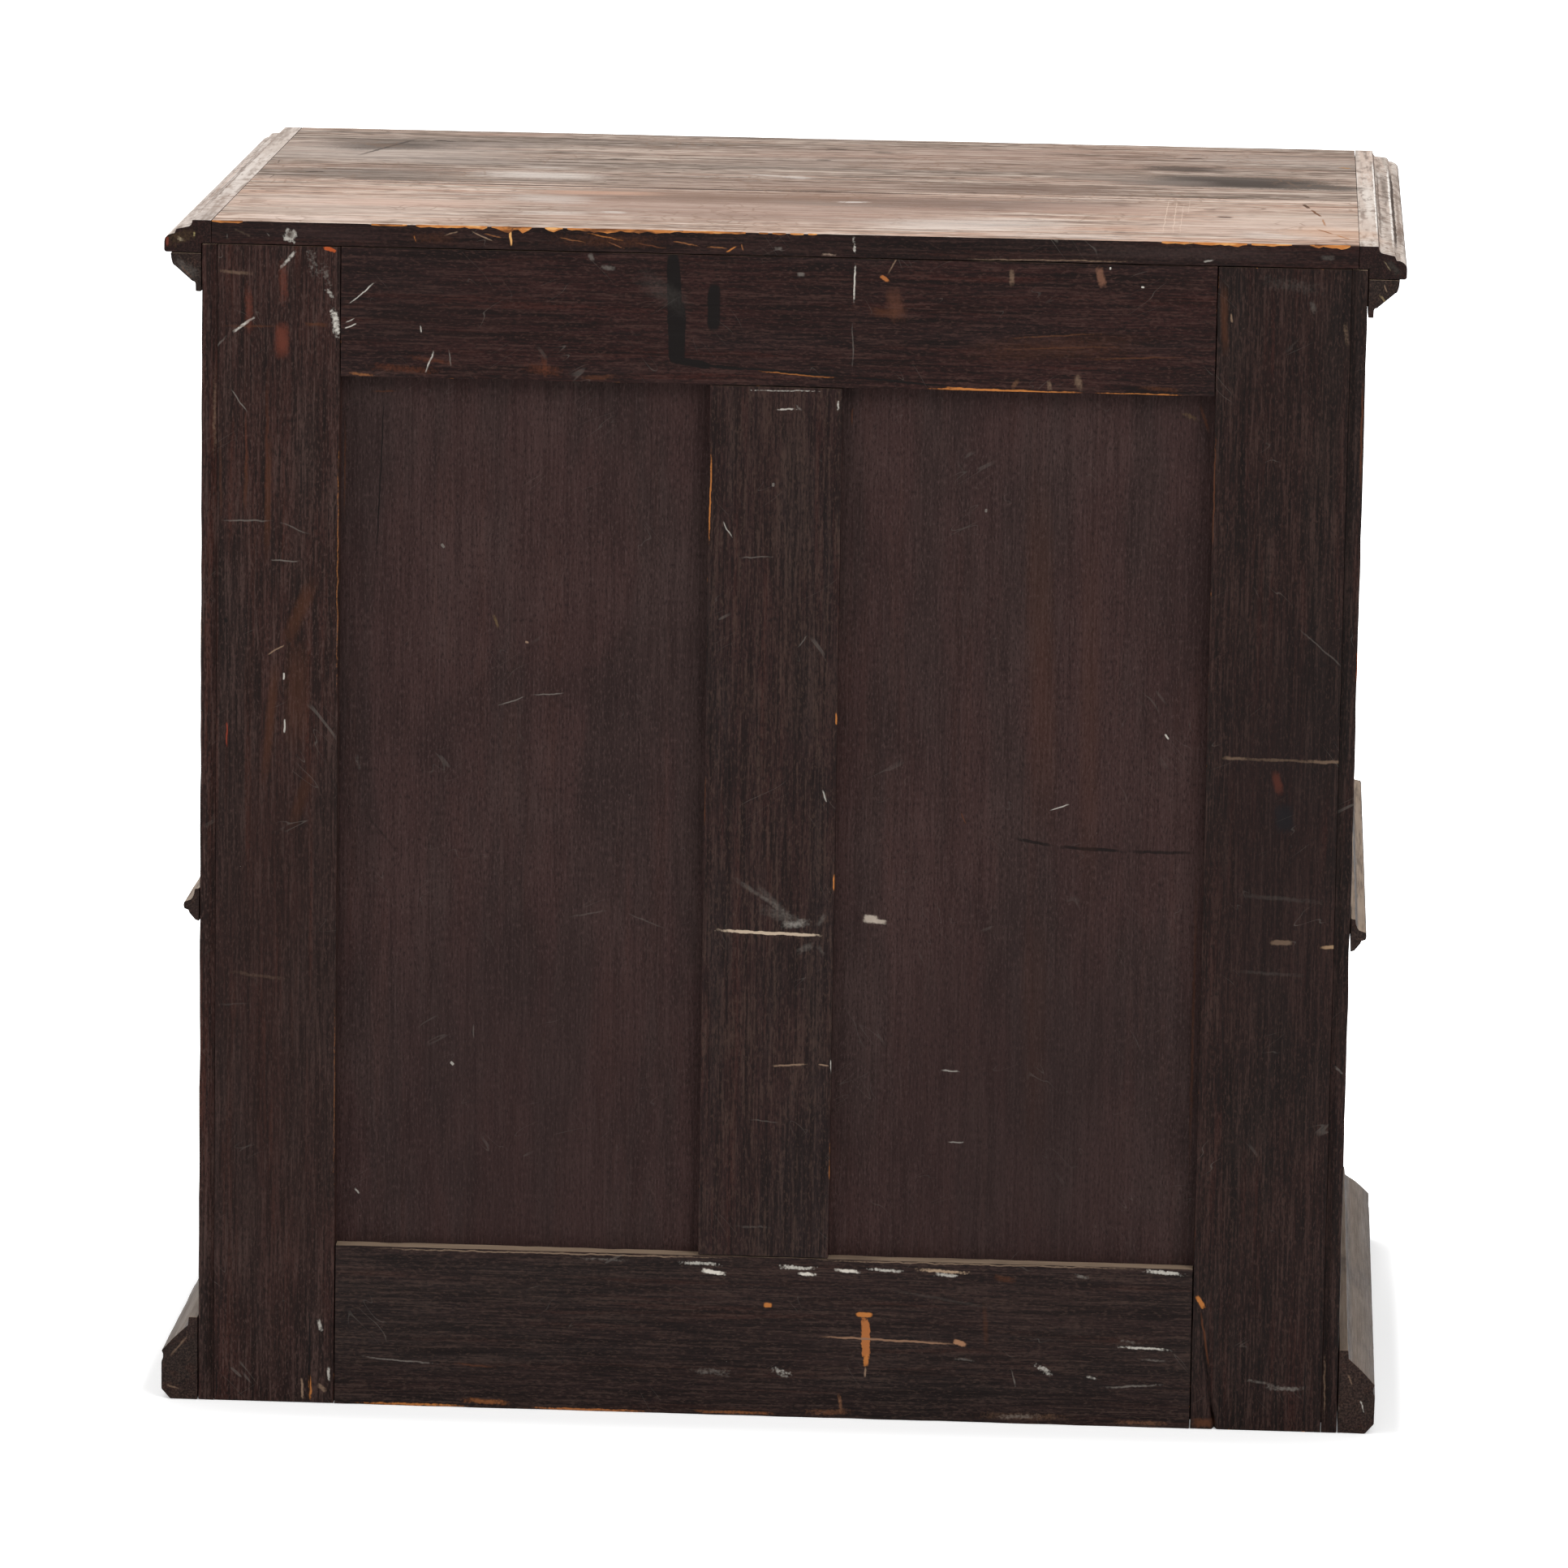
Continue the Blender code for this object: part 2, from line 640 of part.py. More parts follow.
def turned_knob(name):
    """A brass knob, turned about the axis that it points along."""
    bm = bmesh.new()
    turned = [bm.verts.new((radius, 0.0, height)) for radius, height in knob_profile()]
    for first, second in zip(turned, turned[1:]):
        bm.edges.new((first, second))
    knob = add_object(name, bm, old_brass)
    screw = knob.modifiers.new("Lathe", "SCREW")
    screw.steps = knob_steps
    screw.render_steps = knob_steps
    screw.use_merge_vertices = True
    screw.merge_threshold = 0.0001
    screw.use_smooth_shade = True
    return knob


def knob_hole(name, x, z):
    """The drill that makes the hole for a knob's stem."""
    bm = bmesh.new()
    radius = knob_stem_radius + joint_gap
    deep = front_field_depth + knob_stem_length + knob_hole_spare
    turn = Matrix.Rotation(math.pi / 2, 4, "X")
    middle = Vector((x, face_y + (deep - overrun) / 2, z))
    bmesh.ops.create_cone(bm, cap_ends=True, segments=hole_steps, radius1=radius, radius2=radius,
                          depth=deep + overrun, matrix=Matrix.Translation(middle) @ turn)
    return add_object(name, bm)


def build_drawers():
    """Six drawers, each with a front, a box and two knobs, carried by an empty that slides along -Y."""
    for index, (low, high) in enumerate(drawer_heights()):
        name = "drawer_" + str(index + 1)
        slide = bpy.data.objects.new(name + "_slide", None)
        slide.location = (0.0, face_y, (low + high) / 2)
        parts.objects.link(slide)
        front = drawer_front(name + "_front", low, high)
        rows = partition_count if index < upper_drawer_count else 0
        box = drawer_box(name + "_box", low, high, rows)
        carried = [front, box]
        for side, label in ((-1, "left"), (1, "right")):
            x = side * bay_half_width * knob_place_share
            z = (low + high) / 2
            combine(front, knob_hole(name + "_hole_" + label, x, z), "DIFFERENCE")
            knob = turned_knob(name + "_knob_" + label)
            knob.location = (x, face_y + front_field_depth, z)
            knob.rotation_euler = (math.pi / 2, 0.0, 0.0)
            carried.append(knob)
        for piece in carried:
            piece.parent = slide
            piece.matrix_parent_inverse = Matrix.Translation(slide.location).inverted()


build_top()
build_mouldings()
build_back()
build_sides()
build_runners()
build_drawers()
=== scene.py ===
import math

import bmesh
import bpy
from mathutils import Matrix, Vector, noise


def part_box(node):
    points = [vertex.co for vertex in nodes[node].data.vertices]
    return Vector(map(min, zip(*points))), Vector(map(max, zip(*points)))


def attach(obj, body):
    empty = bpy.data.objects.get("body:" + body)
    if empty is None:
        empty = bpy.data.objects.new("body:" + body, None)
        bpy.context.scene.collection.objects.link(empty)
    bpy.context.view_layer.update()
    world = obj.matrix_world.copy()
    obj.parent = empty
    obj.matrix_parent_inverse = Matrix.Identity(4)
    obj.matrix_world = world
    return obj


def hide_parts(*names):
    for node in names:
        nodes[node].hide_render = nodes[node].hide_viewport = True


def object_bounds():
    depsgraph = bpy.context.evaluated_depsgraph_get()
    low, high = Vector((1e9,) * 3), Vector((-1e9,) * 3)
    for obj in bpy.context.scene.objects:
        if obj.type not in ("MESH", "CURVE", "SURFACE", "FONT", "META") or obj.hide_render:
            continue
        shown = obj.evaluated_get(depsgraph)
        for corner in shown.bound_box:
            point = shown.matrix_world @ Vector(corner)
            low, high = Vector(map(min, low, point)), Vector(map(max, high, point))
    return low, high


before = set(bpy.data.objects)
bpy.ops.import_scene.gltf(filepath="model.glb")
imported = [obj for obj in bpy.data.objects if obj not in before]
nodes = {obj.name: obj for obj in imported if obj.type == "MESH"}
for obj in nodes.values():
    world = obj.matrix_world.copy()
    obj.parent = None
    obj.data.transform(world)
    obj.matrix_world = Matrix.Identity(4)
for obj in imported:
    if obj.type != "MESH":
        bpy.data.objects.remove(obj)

cad_low, cad_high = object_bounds()


# Camera
# The photograph looks at the panelled back from a little above the top, and from a little to the right
# of it. A long lens keeps the upright edges nearly parallel.
film_width = 36.0
lens_length = 205.374
sight_limit = 60.0
# In metres and degrees, found from the corners of the case in the photograph
camera_place = (-0.30597, 5.82675, 1.46260)
camera_turn = (79.3198, -0.8861, -176.7401)

scene = bpy.context.scene
camera_data = bpy.data.cameras.new("camera")
camera_data.sensor_width = film_width
camera_data.lens = lens_length
camera_data.clip_end = sight_limit
camera = bpy.data.objects.new("camera", camera_data)
camera.location = camera_place
camera.rotation_euler = [math.radians(angle) for angle in camera_turn]
scene.collection.objects.link(camera)
scene.camera = camera
scene.view_settings.view_transform = "Standard"


# Room
# A white floor and a white surround, with broad soft lamps over the camera's shoulder, to its other side
# and before the drawers. What looks at floor or surround directly, or in a reflection, sees plain white.
floor_reach = 12.0
floor_bounce = 0.62
floor_glow = 0.20
shadow_side = (0.402, 0.428)
shadow_behind = (0.290, 0.390)
surround_light = 0.72
# Each lamp: its place, how wide it is, and its power in watts
key_lamp = ((-2.4, 3.2, 3.4), 2.4, 90.0)
fill_lamp = ((3.4, 1.6, 2.4), 2.4, 30.0)
front_lamp = ((1.2, -3.6, 3.0), 2.4, 70.0)
lamp_target = Vector((0.0, 0.0, 0.40))
white = (1.0, 1.0, 1.0, 1.0)


def add(tree, kind, sockets=None, out=0, **settings):
    """Add a shader node: sockets holds values and links for its inputs, settings its own options."""
    node = tree.nodes.new("ShaderNode" + kind)
    for name, value in settings.items():
        setattr(node, name, value)
    for name, value in (sockets or {}).items():
        if isinstance(value, bpy.types.NodeSocket):
            tree.links.new(value, node.inputs[name])
        else:
            node.inputs[name].default_value = value
    return node.outputs[out]


def seen_directly(tree):
    """One for rays that a viewer sees, straight or in a reflection or through glass, and zero for light."""
    seen = add(tree, "LightPath", out="Is Camera Ray")
    for ray in ("Is Glossy Ray", "Is Transmission Ray"):
        seen = add(tree, "Math", {0: seen, 1: add(tree, "LightPath", out=ray)}, operation="MAXIMUM")
    return seen


world = bpy.data.worlds.new("surround")
scene.world = world
world.use_nodes = True
tree = world.node_tree
level = add(tree, "MapRange", {"Value": seen_directly(tree), "To Min": surround_light, "To Max": 1.0})
tree.links.new(level, tree.nodes["Background"].inputs["Strength"])
tree.nodes["Background"].inputs["Color"].default_value = white

floor_paper = bpy.data.materials.new("white_paper")
floor_paper.use_nodes = True
tree = floor_paper.node_tree
shader = tree.nodes["Principled BSDF"]
shader.inputs["Roughness"].default_value = 1.0
shader.inputs["Specular IOR Level"].default_value = 0.0
seen = seen_directly(tree)
grey = (floor_bounce, floor_bounce, floor_bounce, 1.0)
shade = add(tree, "Mix", {0: seen, 6: grey, 7: white}, out=2, data_type="RGBA")
tree.links.new(shade, shader.inputs["Base Color"])
# Past the cabinet's own shadow the floor shines by itself, so that it stays white as far as it is seen.
away = add(tree, "VectorMath", {0: add(tree, "TexCoord", out="Object")}, operation="ABSOLUTE")
far = 0.0
for axis, (near, end) in (("X", shadow_side), ("Y", shadow_behind)):
    ramp = add(tree, "MapRange", {"Value": add(tree, "SeparateXYZ", {0: away}, out=axis), "From Min": near,
                                  "From Max": end}, interpolation_type="SMOOTHSTEP")
    far = add(tree, "Math", {0: far, 1: ramp}, operation="MAXIMUM")
glow = add(tree, "Math", {0: far, 1: floor_glow}, operation="ADD")
shine = add(tree, "Math", {0: glow, 1: seen}, operation="MULTIPLY")
tree.links.new(shine, shader.inputs["Emission Strength"])
shader.inputs["Emission Color"].default_value = white
bm = bmesh.new()
bmesh.ops.create_grid(bm, x_segments=1, y_segments=1, size=floor_reach)
mesh = bpy.data.meshes.new("floor")
bm.to_mesh(mesh)
bm.free()
mesh.materials.append(floor_paper)
floor = bpy.data.objects.new("floor", mesh)
scene.collection.objects.link(floor)

for name, (place, size, power) in (("key", key_lamp), ("fill", fill_lamp), ("front", front_lamp)):
    lamp = bpy.data.lights.new(name, "AREA")
    lamp.shape = "DISK"
    lamp.size = size
    lamp.energy = power
    light = bpy.data.objects.new(name, lamp)
    light.location = place
    light.rotation_euler = (lamp_target - Vector(place)).to_track_quat("-Z", "Y").to_euler()
    scene.collection.objects.link(light)


# Panelled back: two stiles, two rails and a muntin
# Softwood bars, stained red-brown and varnished, now nearly black, with the stain rubbed through to
# orange wood along the arrises. Tenons hold the bars together, and their grooves hold the panels.
bar_arris = 0.0006
bar_rub = 0.0005
bar_pitch = 0.008
arris_angle = 40.0
smooth_angle = 35.0
merge_distance = 0.000002
flat_angle = 0.4
joint_slack = 0.0004
rub_patch = 0.021
rub_fleck = 0.006
# Real fibres, specks and grit are finer than this. They are drawn as coarse as they need to be to show.
fibre_width = 0.0014
fibre_length = 0.034
vein_width = 0.0045
vein_length = 0.140
streak_width = 0.0075
streak_length = 0.190
patch_width = 0.034
patch_length = 0.200
cloud_size = 0.060
speck_width = 0.0011
speck_length = 0.0034
speck_spacing = 0.0085
grit_size = 0.0016
sway_size = 0.007
sway_reach = 0.0020
level_sway = (0.050, 0.014, 0.014)
scratch_width = 0.012
scratch_length = 0.070
scratch_patch = 0.038
run_width = 0.004
run_length = 0.022
relief_depth = 0.0003
soot = "#0b0605"
bare = "#b8743c"
fresh = "#e0a869"
amber = "#a9683a"
ginger = "#8a5530"
ochre = "#8a5a38"
umber = "#51301f"
russet = "#5c3a26"
oxblood = "#5c3322"
tan = "#8d7460"
fawn = "#8a7461"
rust = "#603226"
chalk = "#cbc5bb"
white_paint = "#e0d8cc"
haze = "#6f6862"
ledge_dust = "#98836f"
ledge_dirt = "#3f302a"


def linear(code):
    """Linear red, green, blue and alpha of an sRGB hex colour."""
    values = [int(code[place:place + 2], 16) / 255 for place in (1, 3, 5)]
    return [value / 12.92 if value <= 0.04045 else ((value + 0.055) / 1.055) ** 2.4
            for value in values] + [1.0]


def cut_across(bm, point, normal, low=None, high=None):
    """Cut a board by a plane, all through or only the faces whose middle lies between two heights."""
    if low is None:
        return bmesh.ops.bisect_plane(bm, geom=bm.verts[:] + bm.edges[:] + bm.faces[:], plane_co=point,
                                      plane_no=normal)
    faces = [face for face in bm.faces if low < face.calc_center_median().z < high]
    parts = set(faces)
    for face in faces:
        parts.update(face.edges)
        parts.update(face.verts)
    return bmesh.ops.bisect_plane(bm, geom=list(parts), plane_co=point, plane_no=normal)


def worn_copy(node, arris, rub=0.0, pitch=None, seed=0, joints=()):
    """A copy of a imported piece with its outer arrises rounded, as the bmesh of a finished board.

    Where pitch is given, the copy is cut at every pitch along its longest side, and its arrises are
    rubbed down unevenly by about rub. Edges that lie in one of the joints, each an axis and a place on it,
    stay sharp. Faces on an arris have 1 in the layer arris and the others 0. Chips have 2 there later.
    """
    bm = bmesh.new()
    bm.from_mesh(nodes[node].data)
    bmesh.ops.remove_doubles(bm, verts=bm.verts, dist=merge_distance)
    bmesh.ops.dissolve_limit(bm, angle_limit=math.radians(flat_angle), verts=bm.verts, edges=bm.edges)
    layer = bm.faces.layers.float.new("arris")
    sharp = [edge for edge in bm.edges if edge.is_manifold and edge.is_convex
             and edge.calc_face_angle() > math.radians(arris_angle)
             and not any(all(abs(vert.co[axis] - place) < joint_slack for vert in edge.verts)
                         for axis, place in joints)]
    rounded = bmesh.ops.bevel(bm, geom=sharp, offset=arris, affect="EDGES", segments=2, profile=0.5,
                              material=-1, clamp_overlap=True)
    for face in rounded["faces"]:
        face[layer] = 1.0
    if pitch is None:
        return bm
    low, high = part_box(node)
    spans = list(high - low)
    axis = spans.index(max(spans))
    normal = Vector((0.0, 0.0, 0.0))
    normal[axis] = 1.0
    cuts = int(spans[axis] / pitch)
    for cut in range(1, cuts):
        middle = (low + high) / 2
        middle[axis] = low[axis] + spans[axis] * cut / cuts
        cut_across(bm, middle, normal)
    bm.normal_update()
    moves = []
    for vert in bm.verts:
        if any(face[layer] > 0.5 for face in vert.link_faces):
            patch = noise.noise(vert.co / rub_patch + Vector((seed, 0.0, 0.0)))
            fleck = noise.noise(vert.co / rub_fleck + Vector((0.0, seed, 0.0)))
            moves.append((vert, vert.normal * rub * max(0.0, 0.35 + 0.9 * patch + 0.5 * fleck)))
    for vert, move in moves:
        vert.co -= move
    return bm


def finished(bm, name, body, material, replaced):
    """Make an object of a bmesh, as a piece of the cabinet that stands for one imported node."""
    mesh = bpy.data.meshes.new(name)
    bm.to_mesh(mesh)
    bm.free()
    mesh.shade_smooth()
    mesh.set_sharp_from_angle(angle=math.radians(smooth_angle))
    mesh.materials.append(material)
    piece = bpy.data.objects.new(name, mesh)
    scene.collection.objects.link(piece)
    weighted = piece.modifiers.new("Flat faces stay flat", "WEIGHTED_NORMAL")
    weighted.keep_sharp = True
    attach(piece, body)
    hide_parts(replaced)
    return piece


def new_finish(name):
    """A new material: its node tree, its shader, and the place on the piece in metres."""
    material = bpy.data.materials.new(name)
    material.use_nodes = True
    tree = material.node_tree
    return material, tree, tree.nodes["Principled BSDF"], add(tree, "TexCoord", out="Object")


def streaks(tree, place, grain, width, length, detail, seed):
    """Noise drawn out along the grain, in streaks about that wide and long.

    seed shifts it along, so that no two boards are alike.
    """
    scale = [1 / width] * 3
    scale[grain] = 1 / length
    drawn = add(tree, "Mapping", {"Vector": place, "Location": (seed, seed, seed), "Scale": scale})
    return add(tree, "TexNoise", {"Vector": drawn, "Scale": 1.0, "Detail": detail, "Roughness": 0.6})


def coat(tree, colour, code, value, low, high, most=1.0, within=None):
    """A colour with another, given as a hex code, laid over it where a value goes from low to high.

    The share that it covers rises smoothly from zero to most. within is a share that holds it back.
    """
    share = add(tree, "MapRange", {"Value": value, "From Min": low, "From Max": high, "To Max": most},
                interpolation_type="SMOOTHSTEP")
    if within is not None:
        share = add(tree, "Math", {0: share, 1: within}, operation="MULTIPLY")
    return add(tree, "Mix", {0: share, 6: colour, 7: linear(code)}, out=2, data_type="RGBA")


def swaying(tree, place, sizes=(sway_size, sway_size, sway_size)):
    """The place on the piece, shifted a little to and fro, so that marks get wavering outlines."""
    scaled = add(tree, "Mapping", {"Vector": place, "Scale": [1 / size for size in sizes]})
    ripple = add(tree, "TexNoise", {"Vector": scaled, "Scale": 1.0, "Detail": 2.0}, out="Color")
    sway = add(tree, "VectorMath", {0: ripple, 1: (0.5, 0.5, 0.5)}, operation="SUBTRACT")
    return add(tree, "VectorMath", {0: sway, 1: (sway_reach,) * 3, 2: place}, operation="MULTIPLY_ADD")


def marked(tree, colour, place, facing, marks):
    """A colour with marks laid over it, on a flat face that looks along the axis facing.

    Each mark is a stroke from one point to another with its width, in millimetres on the face's own two
    axes, its colour and how much of it is left, how much the grit eats into it, and how far it fades.
    """
    first, second = [axis for axis in (0, 1, 2) if axis != facing]
    wavy = swaying(tree, place, level_sway) if facing == 2 else swaying(tree, place)
    plain = colour
    grit = add(tree, "TexNoise", {"Vector": place, "Scale": 1 / grit_size, "Detail": 3.0})
    for start, end, width, code, strength, ragged, fade in marks:
        # Half the stroke, from millimetres to metres
        run = (Vector(end) - Vector(start)) / 2000
        centre, turn, reach = [0.0] * 3, [0.0] * 3, [1000.0] * 3
        centre[first] = (start[0] + end[0]) / 2000
        centre[second] = (start[1] + end[1]) / 2000
        turn[facing] = math.atan2(run.y, run.x) * (-1 if facing == 1 else 1)
        reach[first] = run.length + width / 2000
        reach[second] = width / 2000
        oval = add(tree, "Mapping", {"Vector": wavy, "Location": centre, "Rotation": turn, "Scale": reach},
                   vector_type="TEXTURE")
        blunt = add(tree, "VectorMath", {0: oval, 1: oval}, operation="MULTIPLY")
        away = add(tree, "VectorMath", {0: blunt}, out="Value", operation="LENGTH")
        eaten = add(tree, "Math", {0: grit, 1: ragged, 2: away}, operation="MULTIPLY_ADD")
        colour = coat(tree, colour, code, eaten, 1.0, 1.0 - fade, strength)
    turned = add(tree, "SeparateXYZ", {0: add(tree, "TexCoord", out="Normal")}, out="XYZ"[facing])
    towards = add(tree, "Math", {0: turned}, operation="ABSOLUTE")
    onto = add(tree, "MapRange", {"Value": towards, "From Min": 0.15, "From Max": 0.45},
               interpolation_type="SMOOTHSTEP")
    return add(tree, "Mix", {0: onto, 6: plain, 7: colour}, out=2, data_type="RGBA")


def scratched(tree, colour, place, facing, seed, strength):
    """A colour with a few fine pale scratches, some centimetres long, and small pale specks."""
    first, second = [axis for axis in (0, 1, 2) if axis != facing]
    for tilt, shift in ((0.9, 2.0), (-0.5, 9.0)):
        turn, scale = [0.0] * 3, [0.0] * 3
        turn[facing] = tilt
        scale[first] = 1 / scratch_length
        scale[second] = 1 / scratch_width
        start = (seed + shift,) * 3
        turned = add(tree, "Mapping", {"Vector": place, "Rotation": turn, "Location": start})
        drawn = add(tree, "Mapping", {"Vector": turned, "Scale": scale})
        value = add(tree, "TexNoise", {"Vector": drawn, "Scale": 1.0, "Detail": 1.0})
        middle = add(tree, "Math", {0: value, 1: 0.5}, operation="SUBTRACT")
        apart = add(tree, "Math", {0: middle}, operation="ABSOLUTE")
        line = add(tree, "MapRange", {"Value": apart, "From Min": 0.0040, "From Max": 0.0015,
                                      "To Max": strength}, interpolation_type="SMOOTHSTEP")
        patch = add(tree, "TexNoise", {"Vector": turned, "Scale": 1 / scratch_patch, "Detail": 1.0})
        colour = coat(tree, colour, haze, patch, 0.62, 0.72, within=line)
    cell = {"Vector": place, "Scale": 1 / speck_spacing}
    apart = add(tree, "TexVoronoi", cell, out="Distance")
    pick = add(tree, "SeparateColor", {0: add(tree, "TexVoronoi", cell, out="Color")})
    lucky = add(tree, "Math", {0: pick, 1: 0.96}, operation="GREATER_THAN")
    return coat(tree, colour, chalk, apart, 0.036, 0.018, strength, within=lucky)


def stain(tree, place, grain, seed, tone, depth=1.0, warmth=0.5):
    """Colour and relief of stain over softwood: dull patches, warm streaks, veins and fibres.

    tone holds the ground, the tones of the patches and of the streaks, the dark of the fibres and their
    pale. depth is how strong veins and fibres are, and warmth how strong the streaks are. The levels
    between which each coat comes in were matched to the photograph.
    """
    ground, dull, warm, dark, pale = tone
    fibre = streaks(tree, place, grain, fibre_width, fibre_length, 3.0, seed)
    vein = streaks(tree, place, grain, vein_width, vein_length, 2.0, seed + 3.1)
    patch = streaks(tree, place, grain, patch_width, patch_length, 2.0, seed + 6.2)
    streak = streaks(tree, place, grain, streak_width, streak_length, 2.0, seed + 5.3)
    cloud = streaks(tree, place, grain, cloud_size, cloud_size * 1.6, 3.0, seed + 8.8)
    speck = streaks(tree, place, grain, speck_width, speck_length, 2.0, seed + 9.9)
    colour = coat(tree, linear(ground), dull, patch, 0.44, 0.62, 0.9)
    colour = coat(tree, colour, warm, streak, 0.53, 0.70, warmth)
    colour = coat(tree, colour, dark, cloud, 0.50, 0.68, 0.40)
    colour = coat(tree, colour, pale, cloud, 0.48, 0.34, 0.20)
    colour = coat(tree, colour, dark, vein, 0.46, 0.66, 0.60 * depth)
    colour = coat(tree, colour, dark, fibre, 0.46, 0.66, 0.80 * depth)
    colour = coat(tree, colour, pale, fibre, 0.48, 0.32, 0.60 * depth)
    colour = coat(tree, colour, dark, speck, 0.53, 0.66, 0.75)
    colour = coat(tree, colour, pale, speck, 0.46, 0.32, 0.60)
    return colour, add(tree, "Math", {0: fibre, 1: vein}, operation="ADD")


def rubbed(tree, colour, place, grain, seed, wear):
    """A colour worn through to bare wood, in short runs along the arrises and all over the chips."""
    edge = add(tree, "Attribute", out="Fac", attribute_name="arris")
    run = streaks(tree, place, grain, run_width, run_length, 3.0, seed + 7.7)
    worn = add(tree, "Math", {0: edge, 1: 0.5}, operation="GREATER_THAN")
    chip = add(tree, "Math", {0: edge, 1: 1.5}, operation="GREATER_THAN")
    colour = coat(tree, colour, bare, run, wear, wear + 0.07, 0.9, within=worn)
    colour = coat(tree, colour, bare, edge, 1.4, 1.6)
    colour = coat(tree, colour, umber, run, 0.50, 0.36, 0.85, within=chip)
    return coat(tree, colour, fresh, run, 0.52, 0.66, within=chip)


def finish_with(material, tree, shader, colour, relief, rough, gloss=0.10):
    """Give a shader its colour, a low bump along the grain, its roughness and how much it reflects."""
    tree.links.new(colour, shader.inputs["Base Color"])
    spread = add(tree, "MapRange", {"Value": relief, "From Min": 0.7, "From Max": 1.3,
                                    "To Min": rough - 0.07, "To Max": rough + 0.09})
    tree.links.new(spread, shader.inputs["Roughness"])
    shader.inputs["Specular IOR Level"].default_value = gloss
    bump = add(tree, "Bump", {"Height": relief, "Strength": 0.35, "Distance": relief_depth})
    tree.links.new(bump, shader.inputs["Normal"])
    return material


def stained_wood(name, grain, seed, tone, marks=(), facing=1, depth=1.0, warmth=0.5, dust=0.9,
                 scratches=0.30, wear=0.64, rough=0.56):
    """Dark varnished stain over softwood. grain is the axis along which its fibres run.

    It gives the eye a nearly black red-brown with fine fibres, soft dull patches and a low sheen. Ledges
    that look up hold dust, and arrises are rubbed through to orange wood in places.
    """
    material, tree, shader, place = new_finish(name)
    colour, relief = stain(tree, place, grain, seed, tone, depth, warmth)
    if marks:
        colour = marked(tree, colour, place, facing, marks)
    colour = scratched(tree, colour, place, facing, seed, scratches)
    colour = rubbed(tree, colour, place, grain, seed, wear)
    up = add(tree, "SeparateXYZ", {0: add(tree, "TexCoord", out="Normal")}, out="Z")
    ledge = add(tree, "MapRange", {"Value": up, "From Min": 0.35, "From Max": 0.95, "To Max": dust},
                interpolation_type="SMOOTHSTEP")
    patchy = add(tree, "TexNoise", {"Vector": place, "Scale": 1 / cloud_size, "Detail": 4.0})
    settled = add(tree, "MapRange", {"Value": patchy, "From Min": 0.1, "From Max": 0.5, "To Max": ledge},
                  interpolation_type="SMOOTHSTEP")
    colour = add(tree, "Mix", {0: settled, 6: colour, 7: linear(ledge_dust)}, out=2, data_type="RGBA")
    colour = coat(tree, colour, ledge_dirt, relief, 0.92, 1.25, 0.6, within=settled)
    return finish_with(material, tree, shader, colour, relief, rough)


